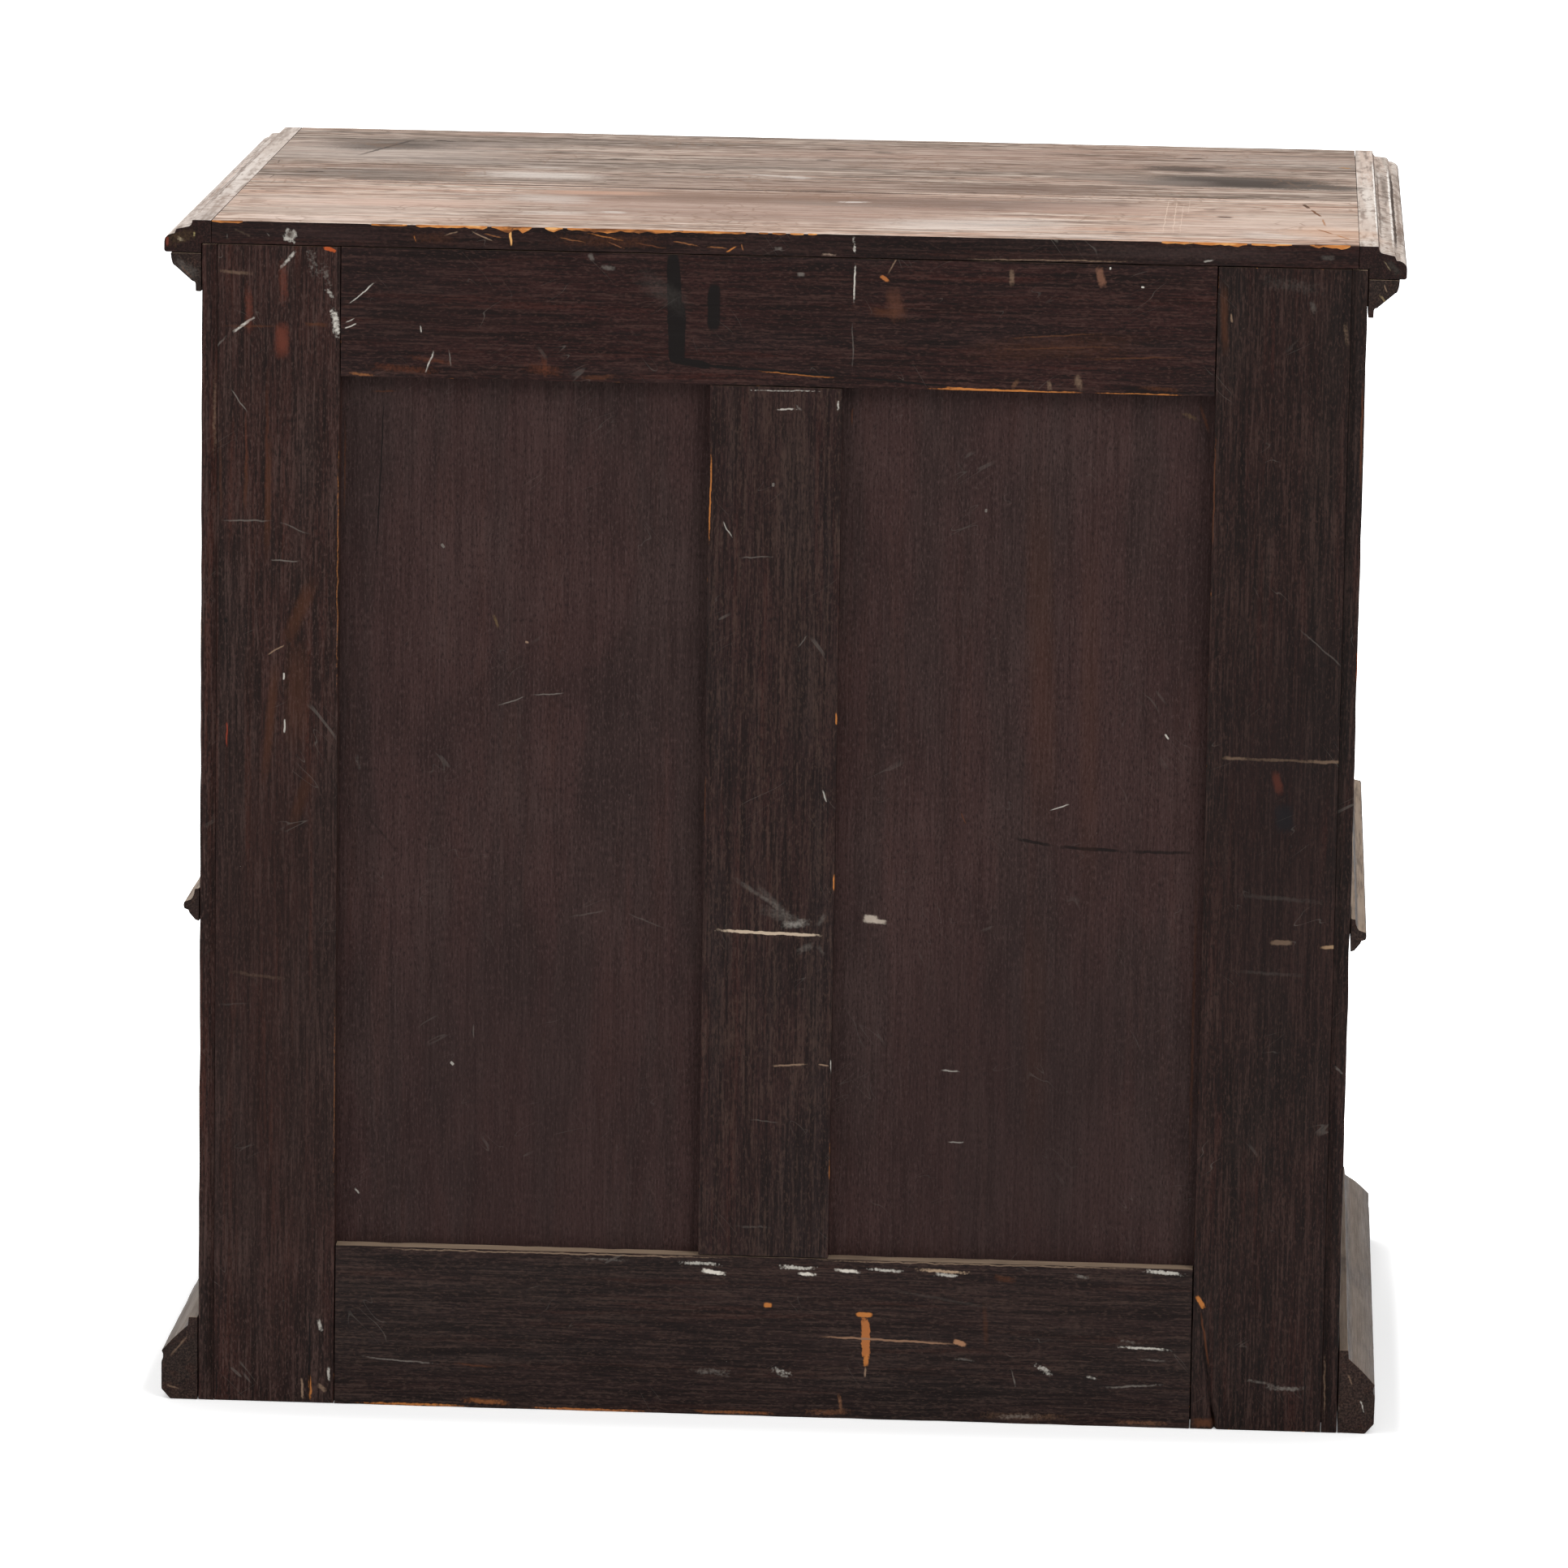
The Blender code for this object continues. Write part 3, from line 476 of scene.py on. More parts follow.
right_stile_marks = (
    # White paint scuffs and a chip near the top
    ((304, 748), (319, 732), 4.0, chalk, 0.75, 1.1, 0.6), ((298, 750), (293, 728), 13.0, haze, 0.8, 1.5, 0.6),
    ((289, 748), (282, 746), 4.0, "#b5552b", 0.9, 0.8, 0.4),
    ((283, 712), (280, 690), 8.0, chalk, 0.95, 1.2, 0.5), ((289, 724), (281, 714), 6.0, chalk, 0.7, 1.4, 0.6),
    ((290, 742), (284, 718), 9.0, haze, 0.75, 1.5, 0.6), ((330, 705), (348, 692), 3.0, chalk, 0.85, 0.9, 0.6),
    ((348, 692), (361, 680), 2.0, haze, 0.6, 0.8, 0.8), ((364, 684), (357, 674), 6.0, tan, 0.6, 1.1, 0.8),
    # Red and brown patches
    ((315, 742), (314, 710), 9.5, rust, 0.7, 0.8, 0.9), ((315, 698), (315, 680), 13.0, rust, 0.85, 0.5, 0.8),
    ((337, 727), (335, 690), 8.0, rust, 0.65, 0.8, 0.8), ((359, 732), (330, 731), 3.5, tan, 0.4, 0.7, 0.9),
    ((303, 700), (284, 699), 4.0, umber, 0.8, 0.7, 0.9), ((360, 697), (310, 698), 2.5, umber, 0.6, 0.7, 0.9),
    # Orange-brown rings of the grain showing through
    ((294, 538), (312, 494), 14.0, umber, 0.5, 0.5, 1.0), ((317, 494), (326, 395), 9.0, umber, 0.6, 0.5, 1.0),
    ((304, 500), (305, 425), 22.0, umber, 0.35, 0.5, 1.0),
    ((323, 640), (324, 540), 6.0, umber, 0.55, 0.5, 1.0), ((337, 622), (338, 575), 4.0, umber, 0.5, 0.5, 1.0),
    ((295, 415), (308, 375), 12.0, umber, 0.45, 0.5, 1.0),
    # Scratches, flecks and a nail hole
    ((349, 446), (349, 427), 1.4, "#8c3a28", 0.8, 0.5, 0.5),
    ((313, 476), (313, 472), 1.4, chalk, 0.9, 0.3, 0.5), ((312, 447), (312, 438), 1.4, chalk, 0.9, 0.3, 0.5),
    ((324, 487), (312, 495), 1.2, tan, 0.75, 0.5, 0.5), ((323, 549), (302, 548), 1.2, haze, 0.7, 0.5, 0.5),
    ((348, 658), (336, 642), 1.2, haze, 0.8, 0.5, 0.5), ((350, 510), (350, 509), 2.2, soot, 1.0, 0.0, 0.4),
    ((355, 283), (300, 277), 4.0, tan, 0.35, 1.0, 0.9), ((358, 260), (330, 262), 2.0, haze, 0.3, 0.9, 0.9),
    # Painted shade: darker lower half, as the light falls off towards the foot
    ((318, 470), (318, 60), 120.0, "#20120f", 0.38, 0.3, 0.8),
    # Pale arc across the waist, reddish streaks and the thin worn line beside the groove
    ((356, 573), (318, 574), 1.6, haze, 0.55, 0.5, 0.7), ((318, 574), (295, 565), 1.4, haze, 0.45, 0.6, 0.8),
    ((338, 650), (337, 594), 2.6, "#5c3426", 0.6, 0.7, 0.9),
    ((324, 686), (325, 567), 3.4, "#532f22", 0.5, 0.7, 0.9),
    ((354, 640), (353, 560), 3.0, "#4c2f22", 0.5, 0.7, 0.9),
    ((279, 655), (279, 430), 1.3, "#a56a3c", 0.55, 1.1, 0.5),
    ((279, 300), (279, 110), 1.2, "#8d5a36", 0.5, 1.2, 0.5),
    ((288, 55), (286, 48), 5.0, chalk, 0.7, 1.1, 0.6),
    # Chips and splits at the foot
    ((294, 20), (293, 1), 3.0, bare, 0.85, 0.9, 0.5), ((299, 18), (298, 1), 2.4, tan, 0.8, 0.9, 0.5),
    ((282, 26), (281, 14), 3.0, chalk, 0.7, 1.1, 0.5), ((288, 12), (283, 8), 5.0, tan, 0.6, 1.0, 0.6),
    ((294, 66), (294, 0), 1.3, soot, 0.95, 0.2, 0.6), ((354, 22), (354, 0), 1.3, soot, 0.9, 0.2, 0.6),
)
left_stile_marks = (
    # Pale line left by a shelf, and marks about the waist
    ((-279, 437), (-366, 436), 3.2, tan, 0.55, 0.9, 0.7), ((-281, 437), (-300, 437), 3.2, tan, 0.6, 0.7, 0.6),
    ((-332, 436), (-365, 436), 3.2, tan, 0.6, 0.7, 0.6),
    ((-316, 428), (-319, 416), 8.0, rust, 0.85, 0.5, 0.8),
    ((-322, 404), (-323, 395), 17.0, "#0c1216", 0.85, 0.5, 0.7),
    ((-316, 319), (-329, 319), 4.6, tan, 0.75, 0.5, 0.5),
    ((-346, 317), (-371, 317), 3.2, "#b09070", 0.85, 0.5, 0.5),
    ((-282, 350), (-360, 345), 5.0, haze, 0.3, 0.9, 0.9),
    ((-282, 300), (-350, 298), 4.0, haze, 0.25, 0.9, 0.9),
    ((-326, 523), (-360, 494), 1.4, haze, 0.35, 0.5, 0.6),
    # Darker middle, then the seam strip and crazed varnish at the top
    ((-318, 520), (-318, 250), 110.0, "#170c0b", 0.45, 0.3, 0.9),
    ((-276, 742), (-278, 690), 7.0, umber, 0.5, 0.5, 0.9),
    ((-285, 748), (-286, 724), 1.4, soot, 0.95, 0.2, 0.6),
    ((-281, 720), (-282, 714), 2.0, tan, 0.7, 0.8, 0.6),
    ((-292, 742), (-345, 734), 16.0, haze, 0.22, 1.2, 0.9),
    ((-352, 718), (-354, 700), 5.0, tan, 0.45, 1.1, 0.8),
    ((-331, 728), (-333, 722), 6.0, haze, 0.4, 0.9, 0.8),
    # The split at the foot and what came away beside it
    ((-275, 87), (-279, 80), 4.0, bare, 0.9, 0.6, 0.5), ((-277, 80), (-284, 38), 1.8, umber, 0.9, 0.4, 0.6),
    ((-275, 4), (-287, 4), 9.0, umber, 0.9, 0.7, 0.7), ((-315, 29), (-351, 28), 6.0, haze, 0.75, 1.2, 0.6),
    ((-300, 34), (-330, 30), 4.0, haze, 0.6, 1.2, 0.7), ((-345, 50), (-345, 0), 1.4, soot, 0.9, 0.2, 0.6),
    ((-270, 176), (-272, 108), 3.4, umber, 0.9, 0.6, 0.7),
    ((-273, 655), (-273, 560), 1.6, umber, 0.8, 0.7, 0.6),
)
top_rail_marks = (
    # Drips of varnish that ran down and along the crack
    ((69, 748), (67, 690), 10.0, soot, 1.0, 0.15, 0.2), ((66, 716), (66, 684), 12.0, soot, 1.0, 0.15, 0.2),
    ((66, 682), (46, 679), 5.6, soot, 1.0, 0.15, 0.3), ((48, 679.5), (22, 677), 2.2, soot, 1.0, 0.15, 0.5),
    ((43, 728), (43, 704), 9.6, soot, 1.0, 0.15, 0.35),
    ((180, 712), (250, 712), 70.0, "#1f1311", 0.25, 0.3, 1.0),
    # The long crack and the bare wood below it
    ((38, 678.5), (-50, 674), 1.5, soot, 1.0, 0.1, 0.6),
    ((-40, 674.5), (-112, 669), 1.6, soot, 1.0, 0.1, 0.6),
    ((20, 676.5), (-40, 673), 1.0, bare, 0.55, 0.5, 0.6),
    ((-100, 669), (-146, 667), 1.4, bare, 1.0, 0.4, 0.5),
    ((-80, 668), (-200, 667.3), 1.8, bare, 0.95, 0.6, 0.5),
    ((-190, 667.5), (-262, 667.2), 1.6, bare, 0.85, 0.8, 0.5),
    # Curved scratch with a chip at its end, faint arcs, and smears
    ((-74, 755), (-64, 737), 1.6, tan, 0.6, 0.8, 0.6), ((-62, 738), (-66, 735), 3.6, amber, 0.9, 0.7, 0.5),
    ((-131, 668), (-134, 665), 2.2, amber, 0.85, 0.8, 0.5),
    ((-82, 663), (-92, 661), 4.0, chalk, 0.55, 1.1, 0.6),
    ((-130, 700), (-215, 706), 1.6, russet, 0.6, 0.7, 0.8),
    ((-120, 693), (-230, 698), 1.4, russet, 0.5, 0.7, 0.8),
    ((-180, 688), (-262, 692), 2.0, russet, 0.55, 0.7, 0.8),
    ((113, 740), (106, 739), 5.0, haze, 0.6, 0.8, 0.7),
    # Chalk line, spots and rubbed patches
    ((-45, 749), (-45, 718), 1.7, chalk, 0.85, 0.8, 0.5), ((-44, 716), (-45, 672), 1.4, haze, 0.55, 0.9, 0.7),
    ((-69, 728), (-73, 712), 16.0, "#5c3a2c", 0.6, 0.7, 0.9),
    ((-55, 716), (-74, 714), 9.0, umber, 0.6, 0.7, 0.9), ((-143, 744), (-144, 734), 5.0, tan, 0.5, 0.8, 0.7),
    ((-198, 745), (-200, 736), 8.0, "#7a5544", 0.75, 0.7, 0.6),
    ((-186, 678), (-187, 670), 8.0, tan, 0.55, 0.9, 0.8), ((-168, 674), (-169, 669), 5.0, tan, 0.5, 0.9, 0.8),
    ((-148, 675), (-145, 669), 5.0, "#7d5a42", 0.6, 0.9, 0.8),
    ((-220, 672), (-255, 670), 5.0, umber, 0.7, 0.9, 0.9),
    ((-10, 738), (-13, 738), 4.0, haze, 0.75, 0.5, 0.7), ((121, 747), (120, 745), 5.0, haze, 0.6, 0.7, 0.7),
    ((-205, 747), (-205, 746), 1.4, chalk, 0.9, 0.2, 0.5),
    ((-225, 735), (-226, 735), 1.4, chalk, 0.9, 0.2, 0.5), ((90, 735), (60, 715), 22.0, haze, 0.16, 0.8, 1.0),
    ((-95, 690), (-250, 700), 26.0, umber, 0.35, 0.9, 1.0),
    # Scratches and rusty rubbing at the other end
    ((254, 729), (275, 711), 1.3, chalk, 0.75, 0.7, 0.6), ((276, 697), (267, 701), 1.2, chalk, 0.8, 0.6, 0.6),
    ((275, 701), (269, 704), 1.0, chalk, 0.6, 0.6, 0.6), ((218, 687), (225, 668), 1.5, chalk, 0.75, 0.8, 0.6),
    ((210, 686), (208, 674), 1.2, haze, 0.8, 0.7, 0.6), ((228, 701), (227, 695), 1.5, chalk, 0.7, 0.8, 0.6),
    ((268, 674), (208, 671), 9.0, oxblood, 0.75, 1.0, 0.9),
    ((240, 681), (200, 676), 5.0, oxblood, 0.65, 1.0, 0.9),
    ((165, 676), (134, 672), 12.0, oxblood, 0.65, 1.0, 0.9),
    ((150, 684), (148, 668), 6.0, oxblood, 0.6, 0.9, 0.9),
    ((274, 669), (255, 668), 3.0, ochre, 0.8, 0.9, 0.6), ((100, 671), (130, 669), 5.0, umber, 0.8, 0.9, 0.9),
)
bottom_rail_marks = (
    # White paint dragged along the upper edge, over a thin worn line
    ((277, 103.4), (0, 103.6), 1.3, fawn, 0.75, 0.6, 0.5),
    ((0, 103.8), (-272, 104.2), 1.3, fawn, 0.7, 0.7, 0.5), ((63, 100), (25, 99), 4.0, chalk, 0.75, 1.2, 0.5),
    ((43, 95), (26, 93), 4.5, white_paint, 0.95, 0.8, 0.5), ((-3, 99), (-36, 98), 4.5, chalk, 0.85, 1.1, 0.5),
    ((-18, 95), (-33, 94), 3.5, white_paint, 0.9, 0.9, 0.5),
    ((-40, 98), (-62, 97), 3.6, white_paint, 0.9, 0.9, 0.5),
    ((-60, 99), (-92, 98), 3.5, chalk, 0.8, 1.1, 0.5),
    ((-90, 100), (-135, 98), 3.6, "#b59a80", 0.8, 1.0, 0.5),
    ((-104, 97), (-125, 96), 4.0, chalk, 0.75, 1.2, 0.5), ((-195, 99), (-207, 97), 4.0, haze, 0.85, 1.1, 0.6),
    ((-236, 103), (-271, 101), 4.0, chalk, 0.85, 1.0, 0.5), ((130, 101), (80, 100), 3.0, haze, 0.6, 1.2, 0.6),
    # A knot, a gouge down to bare wood, and a long scratch that ends in a chip
    ((0.5, 73.5), (-2, 73.5), 4.5, bare, 0.95, 0.5, 0.5), ((-58, 69), (-67, 69), 4.5, bare, 1.0, 0.5, 0.35),
    ((-63, 68), (-64, 38), 8.0, amber, 1.0, 0.75, 0.3), ((-64, 42), (-64, 36), 5.0, bare, 0.9, 0.7, 0.5),
    ((-64, 35), (-64, 28), 2.0, tan, 0.8, 0.6, 0.6), ((-28, 54), (-128, 51), 1.9, "#8d6c56", 0.9, 0.4, 0.5),
    ((-121, 53), (-127, 51), 4.5, "#a67a5c", 0.9, 0.6, 0.5),
    # Pale scuffs
    ((-172, 40), (-184, 32), 7.0, chalk, 0.6, 1.35, 0.5), ((-218, 53), (-266, 51), 2.6, chalk, 0.8, 1.0, 0.5),
    ((-224, 58), (-240, 54), 4.0, haze, 0.6, 1.2, 0.6), ((-208, 25), (-262, 29), 2.2, haze, 0.75, 0.9, 0.6),
    ((-205, 33), (-212, 31), 3.5, chalk, 0.6, 1.2, 0.6), ((-236, 45), (-262, 44), 3.0, haze, 0.6, 1.2, 0.6),
    ((51, 30), (18, 27), 8.0, haze, 0.6, 1.3, 0.6), ((-2, 32), (-18, 26), 8.0, chalk, 0.5, 1.45, 0.5),
    ((268, 32), (205, 28), 1.6, haze, 0.8, 0.8, 0.6), ((205, 29), (170, 27), 2.0, umber, 0.8, 0.7, 0.9),
    ((-118, 42), (-136, 41), 2.5, haze, 0.55, 1.1, 0.6), ((-157, 38), (-161, 22), 1.6, haze, 0.7, 1.0, 0.6),
    ((-139, 83), (-141, 45), 5.0, umber, 0.4, 0.7, 0.9), ((-145, 96), (-158, 94), 7.0, umber, 0.6, 0.8, 0.8),
    ((-65, 88), (-155, 74), 3.0, haze, 0.14, 0.6, 1.0),
    # Bare wood along the foot
    ((276, 1.0), (180, 1.0), 2.6, bare, 0.95, 0.9, 0.6), ((200, 5), (160, 4), 6.0, ginger, 0.9, 0.9, 0.8),
    ((170, 1.0), (60, 1.0), 2.6, amber, 0.9, 0.9, 0.6), ((60, 2), (-20, 2), 3.4, ginger, 0.8, 1.0, 0.7),
    ((-20, 3), (-60, 5), 7.0, "#6b4630", 0.8, 1.0, 0.8), ((-47, 18), (-49, 3), 4.0, "#8a5f44", 0.7, 0.9, 0.8),
    ((-120, 5), (-210, 5), 8.0, "#5d4433", 0.8, 1.1, 0.8), ((-140, 4), (-185, 6), 6.0, haze, 0.7, 1.2, 0.7),
    ((-215, 3), (-268, 3), 5.0, "#6b4a36", 0.8, 1.1, 0.7),
)
muntin_marks = (
    # Pale line left by a shelf, with scrub marks that fan out of it
    ((43, 317.5), (-39, 315.5), 2.8, "#c5b09a", 0.95, 0.6, 0.4),
    ((-18, 323), (33, 357), 5.0, haze, 0.55, 0.9, 1.0), ((-16, 322), (14, 350), 8.0, haze, 0.4, 0.9, 1.0),
    ((-20, 323), (10, 333), 12.0, haze, 0.45, 0.9, 1.0), ((-24, 324), (-5, 322), 9.0, chalk, 0.4, 0.9, 1.0),
    ((-26, 310), (-16, 305), 7.0, haze, 0.6, 0.9, 1.0), ((-34, 330), (-28, 322), 6.0, haze, 0.5, 0.9, 1.0),
    ((-33, 303), (-29, 309), 5.0, haze, 0.4, 0.9, 1.0),
    # Bare edges
    ((43.6, 633), (43.8, 560), 1.5, bare, 0.85, 0.7, 0.5),
    ((-38.5, 356), (-38.5, 345), 2.4, bare, 1.0, 0.5, 0.4),
    ((-38.8, 186), (-39.2, 140), 1.3, bare, 0.7, 0.8, 0.5),
    ((-38.0, 460), (-38.2, 452), 1.4, bare, 0.9, 0.5, 0.4),
    ((-38.6, 236), (-38.9, 225), 1.5, chalk, 0.8, 0.6, 0.5),
    ((44.2, 420), (44.5, 380), 1.2, umber, 0.9, 0.6, 0.5),
    # Chalk at the head, and scratches
    ((33, 663.6), (-36, 665.0), 1.4, chalk, 0.55, 1.2, 0.5),
    ((6, 652.6), (-13, 653), 1.8, chalk, 0.7, 1.1, 0.5),
    ((-35.6, 659), (-35.8, 652), 2.4, chalk, 0.8, 1.1, 0.5),
    ((-9, 655), (-14, 652), 3.0, haze, 0.8, 1.1, 0.6), ((36, 582), (29, 569), 1.2, chalk, 0.55, 0.7, 0.6),
    ((28, 557), (0, 559), 1.2, haze, 0.55, 0.7, 0.7), ((2, 230), (-26, 232), 1.8, tan, 0.75, 0.8, 0.5),
    ((-30, 232), (-38, 231), 1.3, tan, 0.8, 0.6, 0.5), ((16, 195), (-10, 193), 1.3, haze, 0.4, 0.8, 0.7),
    ((30, 125), (-12, 124), 3.0, haze, 0.4, 1.2, 0.8), ((-30, 410), (-33, 402), 1.4, chalk, 0.6, 0.6, 0.6),
    ((4, 605), (4, 604), 2.4, haze, 0.8, 0.4, 0.5), ((-12, 500), (-20, 510), 1.2, haze, 0.5, 0.7, 0.7),
)
# Each bar: its node, the axis of its grain, the start of its pattern, its tones, its marks and its dust
bars = (
    ("back_stile_right", 2, 0.0, ("#321d19", "#2a1d1a", "#47241a", "#110907", "#4a3833"),
     right_stile_marks, 0.2),
    ("back_stile_left", 2, 11.0, ("#241411", "#1f1512", "#321712", "#0b0504", "#3e2d28"),
     left_stile_marks, 0.2),
    ("back_top_rail", 0, 5.0, ("#281311", "#211312", "#3b1912", "#0c0504", "#402c27"),
     top_rail_marks, 0.2),
    ("back_bottom_rail", 0, 17.0, ("#261917", "#231a18", "#351d16", "#0f0807", "#40312b"),
     bottom_rail_marks, 0.9),
    ("back_muntin", 2, 23.0, ("#2b1a18", "#261b1a", "#381d19", "#100807", "#43332c"),
     muntin_marks, 0.2),
)
split_top = (-0.276, 0.083)
split_foot = (-0.288, -0.002)
split_width = 0.0034
split_depth = 0.006


def split(bm):
    """Open a drying split in a stile: a wedge on its back face that widens towards the foot."""
    top = Vector((split_top[0], 0.0, split_top[1]))
    foot = Vector((split_foot[0], 0.0, split_foot[1]))
    along = (foot - top).normalized()
    across = along.cross(Vector((0.0, 1.0, 0.0)))
    for side in (-1, 0, 1):
        cut_across(bm, foot + across * side * split_width / 2, across, foot.z, top.z)
    back = max(vert.co.y for vert in bm.verts)
    for vert in bm.verts:
        offset = vert.co - foot
        share = -offset.dot(along) / (foot - top).length
        if abs(offset.dot(across)) < split_width * 0.1 and vert.co.y > back - split_depth and share < 1.0:
            vert.co.y -= split_depth * (1.0 - max(share, 0.0))


# The planes where the side walls meet the back: edges that lie in them stay sharp
side_seams = [(0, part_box("back_stile_left")[0].x), (0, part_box("back_stile_right")[1].x)]
for number, (node, grain, seed, tone, marks, dust) in enumerate(bars):
    finish = stained_wood("varnished_pine_" + node, grain, seed, tone, marks, dust=dust)
    bar = worn_copy(node, bar_arris, bar_rub, bar_pitch, seed=number, joints=side_seams)
    if node == "back_stile_left":
        split(bar)
    finished(bar, node + "_worn", "case", finish, node)


# Back panels
# Two plain softwood boards with upright grain, loose in the grooves of the bars, so that they can swell.
# They kept more of their stain than the bars, with a crack, a few scratches and a daub of dry paint.
panel_edge = 0.0003
panel_tone = ("#372523", "#302321", "#3e2722", "#1c1211", "#4b3a37")
dry_paint = "#b8aa9c"
right_panel_marks = (
    ((251, 660), (256, 543), 1.1, soot, 0.9, 0.15, 0.6), ((179, 456), (158, 464), 1.2, haze, 0.75, 0.6, 0.6),
    ((158, 464), (133, 466), 1.1, haze, 0.8, 0.6, 0.6),
    ((181, 516), (178, 506), 3.2, "#6e5a3c", 0.6, 0.9, 0.7),
    ((214, 559), (213, 558), 2.4, haze, 0.9, 0.3, 0.5), ((137, 320), (100, 327), 1.8, haze, 0.35, 0.8, 0.9),
    ((100, 327), (64, 313), 1.6, haze, 0.35, 0.8, 0.9), ((267, 391), (235, 354), 2.6, soot, 0.55, 0.7, 0.9),
    ((268, 425), (265, 410), 4.0, haze, 0.45, 1.2, 0.8), ((276, 655), (276, 560), 2.0, umber, 0.7, 0.9, 0.8),
    ((262, 656), (240, 657), 2.0, umber, 0.75, 0.9, 0.7), ((160, 498), (159, 498), 1.8, tan, 0.9, 0.2, 0.5),
    ((205, 224), (204, 223), 2.0, chalk, 0.8, 0.2, 0.5), ((191, 250), (191, 240), 1.1, haze, 0.6, 0.5, 0.6),
    ((267, 140), (264, 136), 2.4, chalk, 0.6, 1.0, 0.6),
    # Painted shade: the lower part darker, as the light falls off towards the foot
    ((158, 250), (158, 110), 240.0, "#291c1b", 0.4, 0.3, 1.0),
)
left_panel_marks = (
    ((-59, 325), (-64, 325), 7.5, dry_paint, 0.9, 0.6, 0.5),
    ((-63, 324), (-71, 323), 4.5, dry_paint, 0.85, 0.6, 0.6),
    ((-151, 380), (-178, 375), 2.8, soot, 0.85, 0.35, 0.6),
    ((-176, 375), (-225, 373), 3.0, soot, 0.9, 0.35, 0.6),
    ((-220, 373), (-270, 373), 3.0, soot, 0.8, 0.4, 0.7),
    ((-106, 228), (-122, 227), 1.7, chalk, 0.65, 0.8, 0.5),
    ((-112, 181), (-125, 181), 1.6, chalk, 0.55, 0.8, 0.5),
    ((-173, 398), (-187, 403), 1.1, chalk, 0.65, 0.5, 0.6),
    ((-118, 396), (-121, 387), 1.1, umber, 0.9, 0.5, 0.6),
    ((-161, 640), (-172, 360), 26.0, umber, 0.22, 0.5, 1.0),
    ((-196, 620), (-200, 300), 20.0, umber, 0.16, 0.5, 1.0),
    ((-165, 350), (-170, 150), 24.0, umber, 0.14, 0.5, 1.0),
    ((-251, 655), (-262, 650), 5.0, "#5d4a34", 0.7, 1.1, 0.7),
    ((-262, 662), (-270, 640), 3.0, umber, 0.75, 0.8, 0.8),
    ((-246, 449), (-248, 446), 1.6, chalk, 0.8, 0.5, 0.5),
    ((-130, 590), (-130, 589), 1.8, haze, 0.9, 0.2, 0.5),
    ((-45, 655), (-44, 640), 1.6, umber, 0.75, 0.8, 0.7),
    ((-268, 400), (-268, 120), 3.0, umber, 0.6, 0.8, 0.9),
    # Painted shade: the lower part darker, as the light falls off towards the foot
    ((-162, 250), (-162, 110), 240.0, "#231817", 0.5, 0.3, 1.0),
)
panels = (("back_panel_right", 31.0, right_panel_marks), ("back_panel_left", 57.0, left_panel_marks))
for node, seed, marks in panels:
    finish = stained_wood("matt_stained_pine_" + node, 2, seed, panel_tone, marks, depth=0.42, warmth=0.25,
                          scratches=0.18, rough=0.62)
    finished(worn_copy(node, panel_edge), node + "_worn", "case", finish, node)


# Side walls
# Front post, rear stile, three rails and two fielded panels on each side, tenoned together and stained
# like the back. The stiles lap the ends of the back and show there as a narrow upright edge.
side_arris = 0.0008
side_pitch = 0.012
side_tone = ("#2d1c19", "#271d1b", "#40231b", "#140b0a", "#45362f")
side_marks = (
    ((357.5, 683), (357.5, 600), 4.0, tan, 0.45, 1.1, 0.8), ((366, 560), (366, 480), 1.6, tan, 0.6, 0.8, 0.6),
    ((-365.6, 510), (-365.8, 480), 1.6, "#8c4a2c", 0.9, 0.6, 0.5),
    ((-364, 690), (-365, 600), 2.0, umber, 0.8, 0.7, 0.6), ((-357, 60), (-358, 0), 2.0, tan, 0.5, 0.9, 0.6),
    ((-358, 240), (-364, 235), 3.0, haze, 0.6, 1.0, 0.6),
)
wall_marks = (
    ((120, 690), (150, 640), 2.0, haze, 0.5, 0.9, 0.7), ((-60, 590), (-20, 575), 1.6, haze, 0.5, 0.8, 0.7),
    ((180, 420), (140, 400), 2.4, tan, 0.5, 1.0, 0.7), ((-150, 330), (-120, 300), 2.0, haze, 0.5, 0.9, 0.7),
    ((40, 200), (70, 150), 2.0, haze, 0.4, 0.9, 0.7), ((-190, 110), (-150, 60), 3.0, tan, 0.5, 1.1, 0.7),
    ((230, 60), (160, 40), 4.0, chalk, 0.4, 1.2, 0.6), ((235, 640), (236, 500), 3.0, umber, 0.7, 0.8, 0.9),
)
for number, side in enumerate(("left", "right")):
    tone = bars[1 - number][3]
    upright = stained_wood("varnished_pine_upright_" + side, 2, 41.0 + number, tone, side_marks, wear=0.70)
    field = stained_wood("varnished_pine_field_" + side, 2, 44.0 + number, side_tone, wall_marks,
                         facing=0, wear=0.68)
    level = stained_wood("varnished_pine_level_" + side, 1, 47.0 + number, side_tone, wall_marks,
                         facing=0, wear=0.68)
    side_pieces = (
        ("side_stile_", upright, "stained_case"), ("front_post_", upright, "stained_case"),
        ("side_top_rail_", level, "stained_case"), ("side_middle_rail_", level, "stained_case"),
        ("side_bottom_rail_", level, "stained_case"),
        ("side_panel_upper_", field, "panel"), ("side_panel_lower_", field, "panel"),
    )
    for node, finish, slot in side_pieces:
        board = worn_copy(node + side, side_arris, bar_rub, side_pitch, seed=number + 20, joints=side_seams)
        finished(board, node + side + "_worn", "case", finish, node + side)


# Runner boards
# Bare softwood boards inside the side walls, with the ledges that carry the drawers. They are nailed to
# the posts and stiles, and the drawers have rubbed their ledges clean.
runner_arris = 0.0005
raw_tone = ("#8d6a47", "#84664a", "#a57a4f", "#5c4029", "#b08c64")
rubbed_raw = "#c09a70"
grime = "#3b2a1e"


